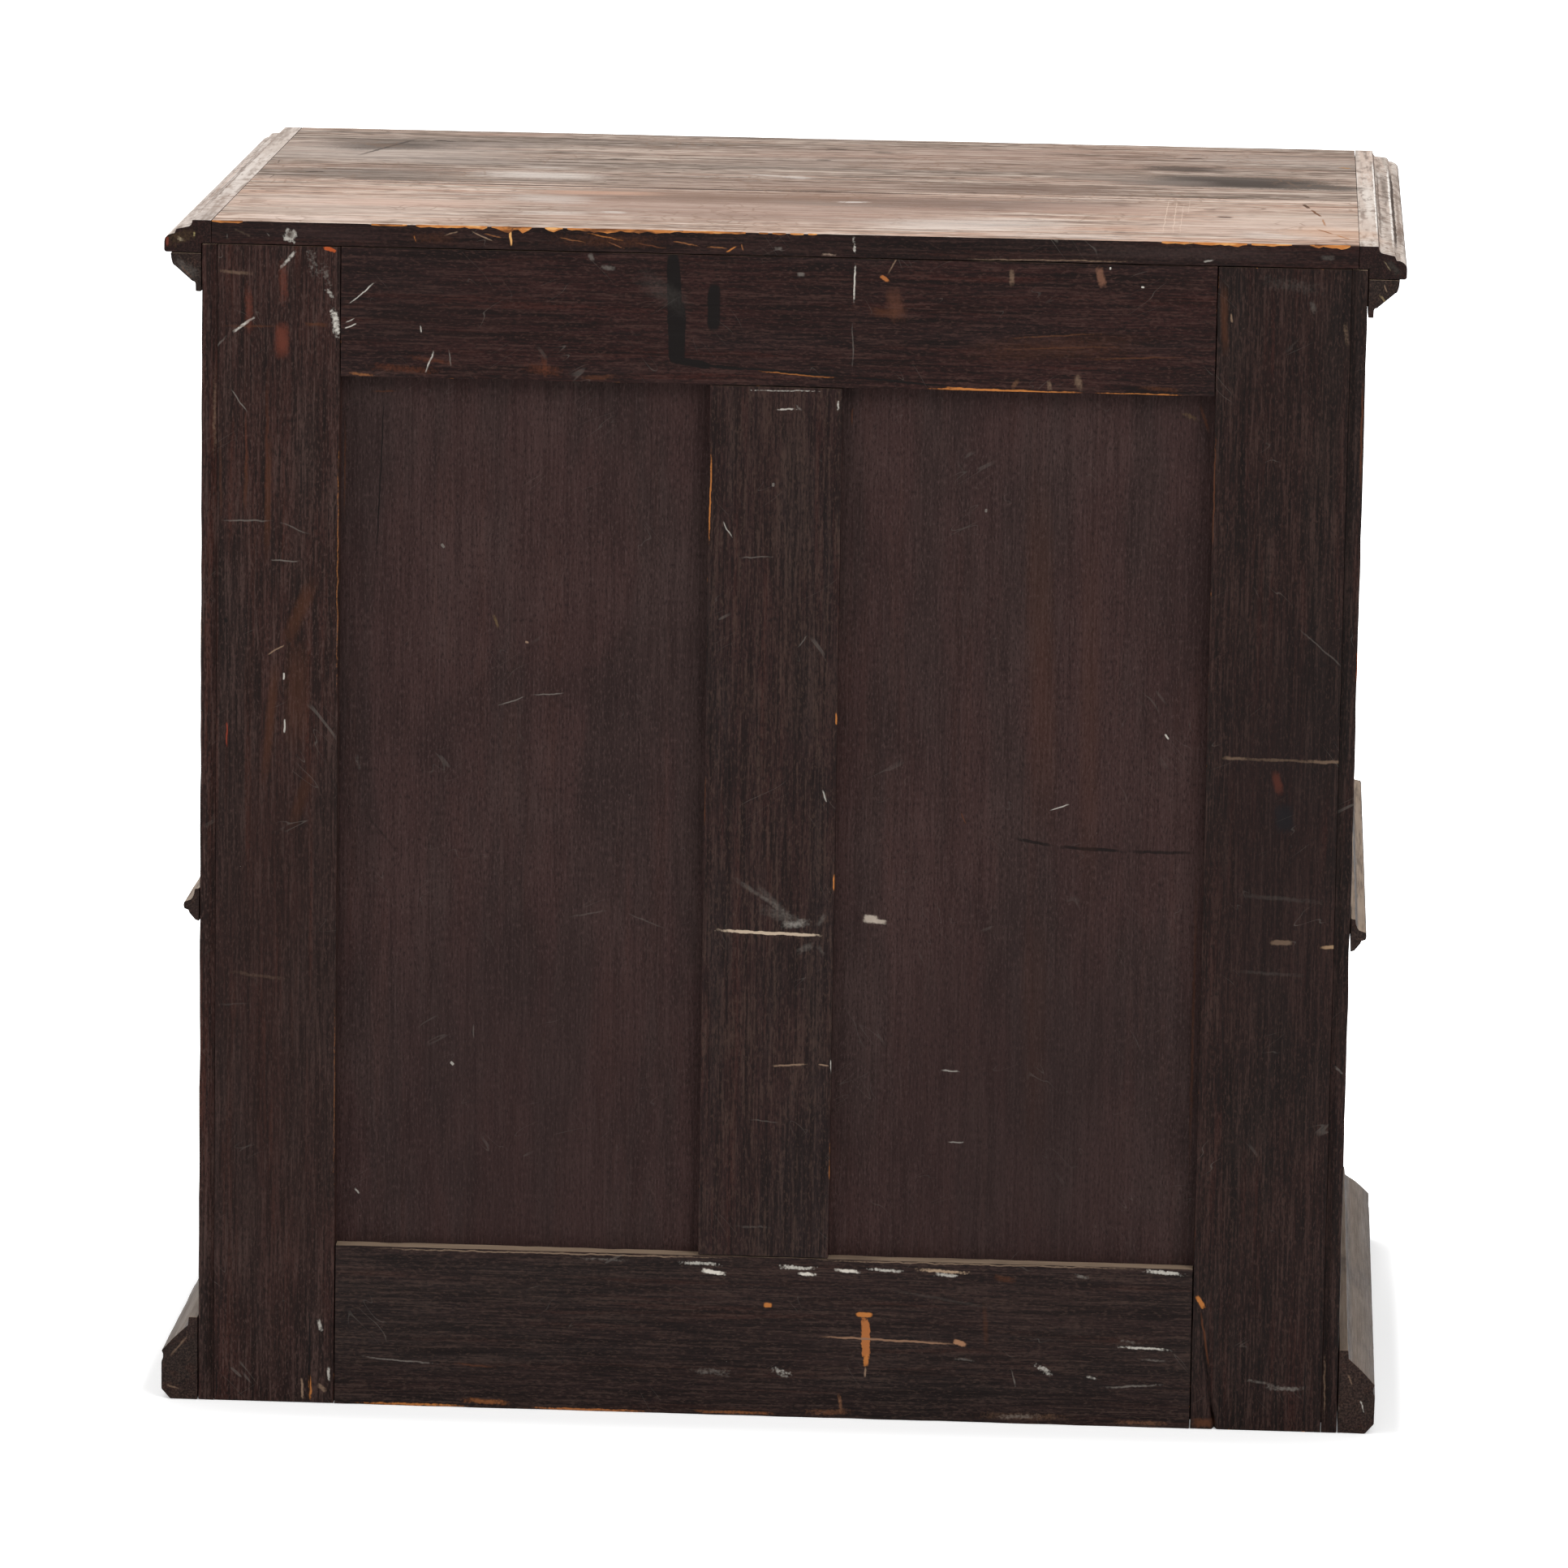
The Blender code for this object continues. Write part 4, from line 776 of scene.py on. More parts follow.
def raw_wood(name, tone, seed, rub_code, dirt):
    """Unfinished softwood, darkened by age.

    It gives the eye a matt honey brown with clear grain, dirt in patches, and paler faces where
    something has rubbed. Its grain runs front to back on upright sides and across on all other faces.
    """
    material, tree, shader, place = new_finish(name)
    facing = add(tree, "SeparateXYZ", {0: add(tree, "TexCoord", out="Normal")}, out="X")
    sideways = add(tree, "Math", {0: facing}, operation="ABSOLUTE")
    side = add(tree, "MapRange", {"Value": sideways, "From Min": 0.4, "From Max": 0.6},
               interpolation_type="SMOOTHSTEP")
    turned = add(tree, "Mapping", {"Vector": place, "Rotation": (0.0, 0.0, math.pi / 2)})
    drawn = add(tree, "Mix", {0: side, 4: place, 5: turned}, out=1, data_type="VECTOR")
    colour, relief = stain(tree, drawn, 0, seed, tone)
    stains = add(tree, "TexNoise", {"Vector": place, "Scale": 1 / cloud_size, "Detail": 4.0})
    colour = coat(tree, colour, grime, stains, 0.50, 0.72, dirt)
    up = add(tree, "SeparateXYZ", {0: add(tree, "TexCoord", out="Normal")}, out="Z")
    upper = add(tree, "MapRange", {"Value": up, "From Min": 0.6, "From Max": 0.9},
                interpolation_type="SMOOTHSTEP")
    colour = coat(tree, colour, rub_code, stains, 0.75, 0.25, 0.45, within=upper)
    return finish_with(material, tree, shader, colour, relief, 0.70, 0.20)


runner_finish = raw_wood("bare_pine_runner", raw_tone, 61.0, rubbed_raw, 0.55)
for side in ("left", "right"):
    node = "runner_board_" + side
    finished(worn_copy(node, runner_arris), node + "_worn", "case", runner_finish, node)


# Base, waist and cornice mouldings
# Softwood mouldings glued and nailed round the sides and the front, square at the back and mitred at
# the front corners. They are stained like the case, and their upper faces have faded to a dusty tan.
moulding_arris = 0.0006
moulding_rub = 0.0005
moulding_pitch = 0.012
moulding_tone = ("#2b1d1a", "#281f1c", "#3a2119", "#130c0a", "#46372f")
moulding_marks = (
    ((-372, 734), (-383, 724), 2.4, "#7d6c50", 0.85, 0.8, 0.6),
    ((-376, 740), (-378, 735), 1.4, tan, 0.6, 0.6, 0.6), ((372, 726), (380, 736), 1.6, umber, 0.9, 0.8, 0.6),
    ((384, 738), (369, 728), 14.0, haze, 0.5, 1.0, 0.9), ((368, 718), (374, 722), 1.6, tan, 0.5, 0.9, 0.6),
    ((-380, 24), (-384, 12), 1.6, chalk, 0.8, 1.1, 0.5), ((-372, 40), (-376, 30), 2.0, tan, 0.6, 0.9, 0.7),
    ((370, 45), (386, 26), 2.2, tan, 0.5, 0.9, 0.7), ((376, 6), (388, 10), 2.0, tan, 0.5, 1.0, 0.7),
)
mouldings = (("base_moulding_", 0.42), ("waist_moulding_", 1.0), ("cornice_", 0.8))
for number, (kind, dust) in enumerate(mouldings):
    runs_back = stained_wood("varnished_pine_" + kind + "side", 1, 67.0 + number, moulding_tone,
                             moulding_marks, dust=dust, wear=0.68)
    runs_across = stained_wood("varnished_pine_" + kind + "across", 0, 71.0 + number, moulding_tone,
                               dust=dust)
    for side, finish in (("left", runs_back), ("right", runs_back), ("front", runs_across)):
        strip = worn_copy(kind + side, moulding_arris, moulding_rub, moulding_pitch, seed=number + 30)
        finished(strip, kind + side + "_worn", "case", finish, kind + side)


# Top: two planks and two end strips
# Two softwood planks glued edge to edge, with a moulded strip over each end and a moulded front edge.
# Water and light have bleached the faces to a pinkish grey. Their edges are still dark, and chipped.
top_arris = 0.0007
top_rub = 0.0002
end_pitch = 0.012
plank_pitch = 0.0028
touch_gap = 0.001
back_facing = 0.6
# Widths and lengths of the grain. Pits and fibres are again drawn coarser than they are, so that they show.
bleach_patch = (0.045, 0.380)
bleach_streak = (0.012, 0.240)
bleach_line = (0.0060, 0.110)
bleach_fibre = (0.0042, 0.020)
pit_size = (0.0046, 0.009)
scuff_size = (0.0036, 0.016)
craze_size = 0.016
craze_strength = 0.35
crazes_per_metre = 12.0
edge_tone = ("#20100e", "#1b0f0d", "#2d140f", "#0a0403", "#352420")
edge_brown = "#4d3b33"
ash = "#d6ccc4"
stain_grey = "#5c524b"
stain_dark = "#453b35"
stain_edge = "#7b6e66"
stain_faint = "#85786f"
stain_band = "#6d6159"
nick = "#3d312a"
deep_nick = "#4a332a"
varnish_hair = "#6b594e"
scuff_brown = "#6a584d"
craze_brown = "#7d614e"
# Painted highlight for the arrises of the left moulded end
painted_arris_highlight = "#efe8e1"
# Painted shade along the profile of the right moulded end
painted_quirk_shade = "#6b5549"
pale_scratch = "#e0c9b6"
back_plank = ("#b29787", "#bd9884", "#9c8e81", "#dccabc", "#665348")
front_plank = ("#968275", "#9f8475", "#807268", "#c3b2a5", "#46392f")
pale_strip = ("#c6b7ac", "#c5b0a3", "#aca096", "#dad0c7", "#82736a")
grey_strip = ("#cabdb4", "#c7b7ab", "#b5a9a1", "#d8cec6", "#93847a")
edge_begins = (0.370, 0.3725)
top_marks = (
    # Broad tones: paler towards the walls, duller in the middle
    ((330, 180), (240, 185), 150.0, "#cdb6a9", 0.55, 0.3, 1.0),
    ((150, 150), (-110, 160), 190.0, "#9f8578", 0.75, 0.3, 0.9),
    ((-270, 190), (-330, 190), 150.0, "#c8b2a5", 0.45, 0.3, 1.0),
    ((60, -140), (-240, -140), 170.0, "#93796c", 0.4, 0.3, 1.0),
    ((170, 90), (-95, 92), 100.0, "#7e6557", 0.78, 0.3, 0.9),
    ((-50, 98), (-215, 100), 96.0, "#79645a", 0.8, 0.3, 0.9),
    ((120, 22), (-90, 18), 80.0, "#86695a", 0.5, 0.3, 1.0),
    ((-66, 20), (-210, 12), 66.0, "#695145", 0.75, 0.3, 0.9),
    ((350, -120), (240, -110), 150.0, "#b3a69d", 0.55, 0.3, 1.0),
    ((-250, -190), (-350, -170), 90.0, "#bcaea4", 0.35, 0.3, 1.0),
    ((-300, 150), (-340, 150), 110.0, "#d2bdaf", 0.5, 0.3, 1.0),
    ((357, 50.6), (-150, 50.6), 6.4, "#483831", 0.95, 0.35, 0.5),
    ((-130, 50.6), (-300, 50.6), 4.4, "#5a4a42", 0.8, 0.6, 0.6),
    # The dark water stain towards the left wall, its tail, and the smaller ones before it
    ((-246, -54), (-318, -48), 86.0, "#544a43", 0.97, 0.4, 0.6),
    ((-238, -50), (-338, -38), 56.0, stain_dark, 0.9, 0.5, 0.7),
    ((-316, -38), (-357, -29), 36.0, stain_grey, 0.9, 0.5, 0.6),
    ((-205, -34), (-262, -42), 40.0, stain_edge, 0.8, 0.5, 0.8),
    ((-226, -122), (-266, -118), 44.0, stain_dark, 0.8, 0.5, 0.8),
    ((-262, -118), (-316, -114), 20.0, stain_faint, 0.5, 0.5, 0.9),
    ((-170, -62), (-250, -52), 50.0, "#7f7269", 0.55, 0.5, 1.0),
    ((-130, 62), (-240, 64), 20.0, stain_edge, 0.65, 0.5, 1.0),
    # The dark stain towards the right wall, its slanting streak, and the dull bands behind it
    ((318, -160), (256, -164), 92.0, stain_grey, 0.72, 0.5, 0.9),
    ((310, -138), (272, -162), 60.0, stain_dark, 0.6, 0.5, 0.9),
    ((309, -82), (271, -212), 4.6, stain_dark, 0.8, 0.5, 0.6),
    ((262, -172), (180, -174), 54.0, stain_edge, 0.65, 0.5, 1.0),
    ((320, 6), (250, -8), 96.0, stain_band, 0.65, 0.5, 0.9),
    ((300, 32), (220, 30), 34.0, stain_band, 0.6, 0.5, 0.9),
    ((240, -70), (150, -80), 90.0, "#7d7068", 0.45, 0.5, 1.0),
    ((60, -100), (-30, -110), 110.0, stain_faint, 0.4, 0.5, 1.0),
    ((260, 110), (150, 112), 44.0, stain_faint, 0.45, 0.5, 1.0),
    ((20, 110), (-70, 120), 40.0, "#8a7d74", 0.45, 0.5, 1.0),
    # Pale haze
    ((208, -8), (146, -4), 60.0, ash, 0.75, 0.5, 1.0), ((190, -50), (158, -48), 20.0, ash, 0.4, 0.5, 1.0),
    ((42, -36), (12, -28), 9.0, ash, 0.8, 0.6, 0.9), ((12, -27), (4, -23), 22.0, ash, 0.75, 0.6, 1.0),
    ((118, 182), (108, 184), 14.0, ash, 0.75, 0.5, 1.0), ((172, 196), (130, 192), 26.0, ash, 0.55, 0.5, 1.0),
    ((-27, 104), (-45, 101), 11.0, ash, 0.85, 0.5, 0.9), ((-66, 216), (-160, 196), 92.0, ash, 0.6, 0.5, 1.0),
    ((-120, 250), (-230, 254), 36.0, ash, 0.5, 0.5, 1.0),
    ((340, 244), (262, 250), 40.0, "#dccabf", 0.6, 0.5, 1.0),
    ((170, 120), (150, 124), 60.0, ash, 0.5, 0.5, 1.0), ((-290, 225), (-334, 222), 46.0, ash, 0.45, 0.5, 1.0),
    # Pink and orange bands where the stain is thinner
    ((170, 84), (88, 82), 34.0, "#c89f88", 0.75, 0.5, 1.0),
    ((86, 216), (36, 208), 16.0, "#a08271", 0.6, 0.5, 1.0),
    ((300, 150), (190, 160), 70.0, "#c4a190", 0.55, 0.5, 1.0),
    ((-150, 110), (-260, 120), 80.0, "#c0a090", 0.45, 0.5, 1.0),
    ((262, -232), (170, -236), 26.0, "#ab8777", 0.45, 0.5, 1.0),
    ((-60, -190), (-180, -200), 40.0, "#a98d80", 0.45, 0.5, 1.0),
    ((-334, 205), (-353, 215), 84.0, "#cd9a74", 0.45, 0.6, 1.0),
    ((-350, -149), (-356, -144), 9.0, "#a5763f", 0.8, 0.8, 0.7),
    # Nicks that lie along the grain
    ((262, -189), (250, -188), 10.0, nick, 0.95, 0.6, 0.7), ((328, 4), (319, 2), 9.0, nick, 0.95, 0.6, 0.6),
    ((138, -104), (127, -106), 9.0, nick, 0.9, 0.7, 0.7), ((-4, -191), (-16, -191), 9.0, nick, 0.9, 0.6, 0.7),
    ((-1, -126), (-8, -126), 8.0, nick, 0.9, 0.6, 0.7), ((-36, -178), (-50, -177), 8.0, nick, 0.85, 0.6, 0.7),
    ((106, -92), (96, -91), 4.0, nick, 0.75, 0.6, 0.7), ((40, -102), (34, -102), 4.0, nick, 0.75, 0.6, 0.7),
    ((-244, -181), (-257, -183), 10.0, deep_nick, 0.95, 0.6, 0.7),
    ((-267, -136), (-272, -136), 6.0, nick, 0.85, 0.6, 0.7),
    ((-223, -128), (-229, -128), 4.0, nick, 0.8, 0.6, 0.7),
    ((-272, 137), (-277, 138), 9.0, deep_nick, 0.95, 0.5, 0.6),
    ((-262, 100), (-268, 100), 5.0, deep_nick, 0.8, 0.5, 0.6),
    ((354, 113), (350, 114), 4.0, nick, 0.8, 0.6, 0.7), ((344, 111), (338, 112), 4.0, nick, 0.8, 0.6, 0.7),
    ((-20, -160), (-60, -158), 3.0, nick, 0.45, 1.0, 0.7), ((20, -70), (12, -69), 5.0, nick, 0.45, 0.8, 0.7),
    # Curled hairs of old varnish near the right wall, and cracks near the left one
    ((361, -70), (354, -64), 1.7, varnish_hair, 0.8, 0.5, 0.6),
    ((354, -64), (353, -38), 1.7, varnish_hair, 0.8, 0.5, 0.6),
    ((353, -38), (361, -34), 1.7, varnish_hair, 0.8, 0.5, 0.6),
    ((348, 20), (342, 26), 1.7, varnish_hair, 0.75, 0.5, 0.6),
    ((348, 20), (349, 44), 1.6, varnish_hair, 0.75, 0.5, 0.6),
    ((364, 118), (359, 126), 1.7, varnish_hair, 0.75, 0.5, 0.6),
    ((-325, 60), (-329, 84), 3.6, "#4d3220", 0.95, 0.5, 0.5),
    ((-329, 84), (-337, 130), 2.8, "#6b4429", 0.95, 0.6, 0.5),
    ((-337, 130), (-339, 180), 2.2, "#a06f46", 0.8, 0.7, 0.6),
    ((-332, 186), (-345, 216), 3.0, "#8a5730", 0.9, 0.7, 0.5),
    ((-345, 216), (-355, 240), 2.8, "#a8713f", 0.85, 0.7, 0.5),
    ((-296, 206), (-330, 230), 2.4, "#a87f5e", 0.75, 0.8, 0.6),
    # Painted highlights on the arrises of the left moulded end, and painted shade along its cove, shelf and
    # quirk
    ((-371.6, -232), (-371.6, 262), 2.0, painted_arris_highlight, 0.95, 0.5, 0.4),
    ((-374.0, -232), (-374.0, 262), 2.2, "#6d5e55", 0.75, 0.7, 0.5),
    ((-378.6, -225), (-378.6, 60), 8.0, "#6f6259", 0.85, 1.0, 0.7),
    ((-378.5, 40), (-378.5, 262), 7.0, "#93847a", 0.6, 1.2, 0.8),
    ((-381.7, -240), (-381.7, 262), 2.0, painted_arris_highlight, 0.95, 0.4, 0.4),
    ((-383.5, -240), (-383.5, 262), 2.4, "#382c26", 0.9, 0.4, 0.4),
    ((-386.4, -240), (-386.4, 262), 3.4, "#85756b", 0.7, 0.9, 0.6),
    ((-387, -230), (-387, -120), 7.0, "#7d6f66", 0.7, 0.9, 0.8),
    # Lines of painted light and shade along the profile of the right moulded end
    ((371.3, -232), (371.3, 262), 1.8, painted_quirk_shade, 0.55, 0.7, 0.4),
    ((377.0, -235), (377.0, 262), 1.8, painted_quirk_shade, 0.45, 0.7, 0.4),
    ((379.8, -235), (379.8, 262), 3.4, "#c99f88", 0.3, 0.9, 0.7),
    ((381.6, -240), (381.6, 262), 1.2, "#7d6558", 0.5, 0.8, 0.5),
    # Pale scratches that run down to the back edge
    ((-238.5, 10), (-236, 262), 1.0, pale_scratch, 0.55, 0.6, 0.7),
    ((-243.5, 10), (-242.6, 262), 1.0, pale_scratch, 0.55, 0.6, 0.7),
    ((-248, 40), (-247, 262), 0.9, pale_scratch, 0.45, 0.6, 0.7),
    ((-252, 20), (-251, 150), 0.9, pale_scratch, 0.35, 0.7, 0.8),
)
plank_marks = (
    # Mottled end of the strip, the ring-shaped stain, and long curved scratches down to orange wood
    ((386, 750), (372, 756), 15.0, "#4b3a27", 0.75, 1.1, 0.8),
    ((381, 752), (378, 751), 5.0, "#a3947a", 0.75, 1.3, 0.6),
    ((371, 757), (371, 754), 3.0, "#b0a070", 0.8, 1.1, 0.6),
    ((388, 753), (388, 747), 2.6, "#6a3326", 0.85, 0.6, 0.6),
    ((-376, 756), (-386, 746), 9.0, "#3d3a35", 0.7, 1.0, 0.9),
    ((-373, 757), (-381, 747), 1.4, "#7d6f58", 0.8, 1.0, 0.6),
    ((311, 755.4), (310, 755.2), 12.6, chalk, 0.85, 1.15, 0.4),
    ((311, 756), (310, 755.8), 7.0, "#35241b", 0.9, 0.8, 0.7),
    ((350, 756), (350, 752), 1.6, haze, 0.6, 1.1, 0.6), ((326, 757), (323, 754), 1.2, haze, 0.6, 1.0, 0.6),
    ((126, 762), (96, 756), 1.5, bare, 0.75, 0.9, 0.6), ((96, 756), (70, 752), 1.2, umber, 0.95, 0.6, 0.6),
    ((72, 758), (50, 754), 1.3, ochre, 0.85, 0.8, 0.6), ((50, 754), (33, 753.5), 1.3, ochre, 0.85, 0.8, 0.6),
    ((36, 751), (29, 755), 1.2, bare, 0.85, 0.5, 0.5), ((26, 757), (25, 752), 1.3, ochre, 0.85, 0.7, 0.6),
    ((172, 762), (171, 752), 1.8, fresh, 0.95, 0.4, 0.5), ((197, 761), (181, 754), 1.4, tan, 0.85, 0.6, 0.6),
    ((190, 760), (175, 756), 1.2, ochre, 0.8, 0.8, 0.6), ((215, 757), (202, 761), 1.6, tan, 0.75, 0.9, 0.6),
    ((145, 759), (120, 754), 1.2, ochre, 0.8, 0.8, 0.6),
    ((112, 757), (98, 751), 1.2, "#7d5138", 0.85, 0.8, 0.6),
    ((160, 757), (60, 756), 14.0, umber, 0.6, 1.0, 1.0), ((240, 756), (200, 756), 12.0, umber, 0.5, 1.0, 1.0),
    ((340, 757), (235, 757), 14.0, "#3c2c2a", 0.35, 0.8, 1.0),
    ((232, 758), (231, 752), 1.4, bare, 0.5, 1.0, 0.6), ((5, 754), (1, 754), 4.0, haze, 0.7, 0.9, 0.7),
    ((-44.5, 764), (-44.5, 749), 3.4, chalk, 0.75, 1.3, 0.5),
    ((-23, 751), (-34, 751), 2.6, "#9a8474", 0.7, 1.0, 0.6),
    ((-270, 753), (-262, 752), 2.0, chalk, 0.5, 0.9, 0.6),
    ((-336, 756), (-345, 756), 5.0, haze, 0.35, 0.9, 0.8),
    ((350, 760), (330, 752), 3.0, "#6b5a4c", 0.4, 1.2, 0.7),
    ((-90, 750), (-240, 751), 1.4, tan, 0.55, 0.8, 0.6),
    ((-150, 757), (-350, 757), 15.0, "#3f322f", 0.6, 0.8, 1.0),
)
plank_chips = (
    (361, 338, 1.0), (262, 236, 0.9), (232, 183, 1.3), (182, 158, 3.6), (150, 139, 3.0), (136, 66, 1.6),
    (118, 102, 2.6), (66, 20, 1.0), (20, -22, 0.6), (-234, -258, 0.9), (-256, -292, 1.5), (-290, -318, 1.1),
    (-330, -357, 1.7),
)
bite_size = 0.0055
bite_depth = 0.0008
bite_shows = 0.0004


def chipped(bm, node):
    """Bite chips out of the back arris of a plank, where the table of chips says, in ragged steps.

    Each chip in the table has its two ends, in millimetres, and its depth as a share of bite_depth. Faces
    that are bitten deep enough to show have 2 in the layer arris.
    """
    layer = bm.faces.layers.float["arris"]
    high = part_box(node)[1]
    rows = []
    for vert in bm.verts:
        if vert.co.y > high.y - top_arris * 1.5 and vert.co.z > high.z - top_arris * 1.5:
            ragged = 0.9 + 1.3 * noise.noise(Vector((vert.co.x / bite_size, 0.0, 0.0)))
            bite = 0.0
            for start, end, depth in plank_chips:
                inside = min(start / 1000 - vert.co.x, vert.co.x - end / 1000)
                if inside > 0:
                    bite = max(bite, depth * bite_depth * min(1.0, inside / bite_size) * max(0.15, ragged))
            rows.append((vert, bite))
    bitten = {}
    for vert, bite in rows:
        down = min(1.0, max(0.0, (vert.co.y - high.y + top_arris) / top_arris))
        vert.co.z -= bite * down
        vert.co.y -= bite * 0.5 * (1 - down)
        bitten[vert] = bite
    for face in bm.faces:
        if face[layer] > 0.5 and max(bitten.get(vert, 0.0) for vert in face.verts) > bite_shows:
            face[layer] = 2.0


def bleached(tree, place, grain, seed, palette):
    """Colour of a bleached face: body, warm and grey patches, pale streaks, dark lines, fibres and pits."""
    body, warm, grey, pale, line = palette
    patch = streaks(tree, place, grain, *bleach_patch, 2.0, seed)
    streak = streaks(tree, place, grain, *bleach_streak, 2.0, seed + 2.0)
    fine = streaks(tree, place, grain, *bleach_line, 2.0, seed + 4.0)
    fibre = streaks(tree, place, grain, *bleach_fibre, 2.0, seed + 5.0)
    pit = streaks(tree, place, grain, *pit_size, 2.0, seed + 6.0)
    colour = coat(tree, linear(body), warm, patch, 0.48, 0.66, 0.8)
    colour = coat(tree, colour, grey, patch, 0.47, 0.32, 0.7)
    colour = coat(tree, colour, grey, streak, 0.53, 0.68, 0.8)
    colour = coat(tree, colour, pale, streak, 0.47, 0.32, 0.7)
    colour = coat(tree, colour, line, fine, 0.53, 0.68, 0.75)
    colour = coat(tree, colour, pale, fine, 0.46, 0.31, 0.65)
    colour = coat(tree, colour, line, fibre, 0.53, 0.68, 0.65)
    colour = coat(tree, colour, pale, fibre, 0.45, 0.30, 0.60)
    colour = coat(tree, colour, line, pit, 0.66, 0.75, 0.85)
    return colour, add(tree, "Math", {0: fine, 1: fibre}, operation="ADD")


def reaching(marks, node, facing):
    """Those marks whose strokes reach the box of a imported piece, which looks along the axis facing.

    A material with more than about 65 marks renders black, so each board gets only its own.
    """
    low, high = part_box(node)
    axes = [axis for axis in (0, 1, 2) if axis != facing]
    return [mark for mark in marks
            if all(min(mark[0][place], mark[1][place]) - mark[2] < high[axis] * 1000
                   and max(mark[0][place], mark[1][place]) + mark[2] > low[axis] * 1000
                   for place, axis in enumerate(axes))]


def weathered_wood(name, node, grain, seed, palette):
    """Softwood with a bleached face and dark edges.

    It gives the eye a dry pinkish grey with grain in long streaks, stains and fine cracks, and hardly any
    sheen. Steep parts of its moulded edge are brown, and its upright edges keep their black stain.
    """
    material, tree, shader, place = new_finish(name)
    side = stain(tree, place, grain, seed + 20.0, edge_tone)[0]
    side = scratched(tree, side, place, 1, seed, 0.3)
    face, relief = bleached(tree, place, grain, seed, palette)
    face = marked(tree, face, place, 2, reaching(top_marks, node, 2))
    out = add(tree, "SeparateXYZ", {0: add(tree, "VectorMath", {0: place}, operation="ABSOLUTE")}, out="X")
    on_edge = add(tree, "MapRange", {"Value": out, "From Min": edge_begins[0], "From Max": edge_begins[1]},
                  interpolation_type="SMOOTHSTEP")
    scuff = streaks(tree, place, 0, *scuff_size, 2.0, seed + 9.0)
    face = coat(tree, face, scuff_brown, scuff, 0.53, 0.68, 0.75, within=on_edge)
    cell = {"Vector": swaying(tree, place), "Scale": 1 / craze_size}
    crack = add(tree, "TexVoronoi", cell, feature="DISTANCE_TO_EDGE")
    line = add(tree, "MapRange", {"Value": crack, "From Min": 0.07, "From Max": 0.02,
                                  "To Max": craze_strength}, interpolation_type="SMOOTHSTEP")
    patch = add(tree, "TexNoise", {"Vector": place, "Scale": crazes_per_metre, "Detail": 1.0})
    face = coat(tree, face, craze_brown, patch, 0.50, 0.62, within=line)
    up = add(tree, "SeparateXYZ", {0: add(tree, "TexCoord", out="Normal")}, out="Z")
    colour = coat(tree, side, edge_brown, up, 0.08, 0.30, 0.9)
    level = add(tree, "MapRange", {"Value": up, "From Min": 0.25, "From Max": 0.70},
                interpolation_type="SMOOTHSTEP")
    colour = add(tree, "Mix", {0: level, 6: colour, 7: face}, out=2, data_type="RGBA")
    colour = rubbed(tree, colour, place, grain, seed, 0.70)
    return finish_with(material, tree, shader, colour, relief, 0.80, 0.04)


top_pieces = (
    ("top_plank_back", 0, 81.0, back_plank, plank_pitch),
    ("top_plank_front", 0, 83.0, front_plank, end_pitch),
    ("top_end_right", 1, 87.0, grey_strip, end_pitch),
    ("top_end_left", 1, 89.0, pale_strip, end_pitch),
)
for number, (node, grain, seed, palette, pitch) in enumerate(top_pieces):
    low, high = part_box(node)
    joints = []
    for other in top_pieces:
        other_low, other_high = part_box(other[0])
        for axis in (0, 1):
            joints += [(axis, low[axis])] if abs(low[axis] - other_high[axis]) < touch_gap else []
            joints += [(axis, high[axis])] if abs(high[axis] - other_low[axis]) < touch_gap else []
    board = worn_copy(node, top_arris, top_rub, pitch, seed=number + 40, joints=joints)
    if node == "top_plank_back":
        chipped(board, node)
    finish = weathered_wood("bleached_pine_" + node, node, grain, seed, palette)
    piece = finished(board, node + "_worn", "case", finish, node)
    if high.y > cad_high[1] - joint_slack:
        edge_marks = reaching(plank_marks, node, 1)
        finish = stained_wood("varnished_pine_edge_" + node, grain, seed + 20.0, edge_tone, edge_marks,
                              dust=0.0, wear=0.70)
        piece.data.materials.append(finish)
        for face in piece.data.polygons:
            face.material_index = 1 if face.normal.y > back_facing else 0


# Drawers
# Six stained fronts with a shallow sunk field, each on a bare softwood box with a nailed bottom. The four
# shallow boxes have partitions, so that the spools stand in rows.
front_arris = 0.0006
front_pitch = 0.012
box_arris = 0.0005
front_tone = ("#3a2018", "#321f19", "#502a1c", "#190d0a", "#4d3a31")
box_tone = ("#9a744b", "#8f704e", "#b08457", "#66482d", "#bd9870")
box_rub = "#c9a67c"
handled = "#120a08"
# Hands have darkened each front round both of its knobs: places and sizes in millimetres
knob_place = 202
hand_reach = 18
hand_width = 42.0
for number in range(1, 7):
    drawer = "drawer_" + str(number)
    low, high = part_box(drawer + "_front")
    middle = (low.z + high.z) / 2 * 1000
    hands = [((place - hand_reach, middle), (place + hand_reach, middle), hand_width, handled,
              0.55, 0.6, 1.0) for place in (-knob_place, knob_place)]
    finish = stained_wood("varnished_pine_" + drawer, 0, 90.0 + number * 3.7, front_tone, hands, dust=0.4,
                          rough=0.44)
    front = worn_copy(drawer + "_front", front_arris, bar_rub, front_pitch, seed=number + 50)
    finished(front, drawer + "_front_worn", drawer, finish, drawer + "_front")
    finish = raw_wood("bare_pine_" + drawer, box_tone, 120.0 + number * 2.3, box_rub, 0.16)
    finished(worn_copy(drawer + "_box", box_arris), drawer + "_box_worn", drawer, finish,
             drawer + "_box")


# Knobs
# Turned brass, each a ball on a neck and a round plate, with a stem let into the front. They are
# polished where fingers hold them, and brown in the hollow behind the ball.
knob_turns = 56
knob_reach = 0.0215
pole_distance = 0.00001
tarnish_size = 0.006
brass_grit = 0.0012
brass_relief = 0.0001
brass_gold = "#a3834a"
brass_brown = "#47331d"
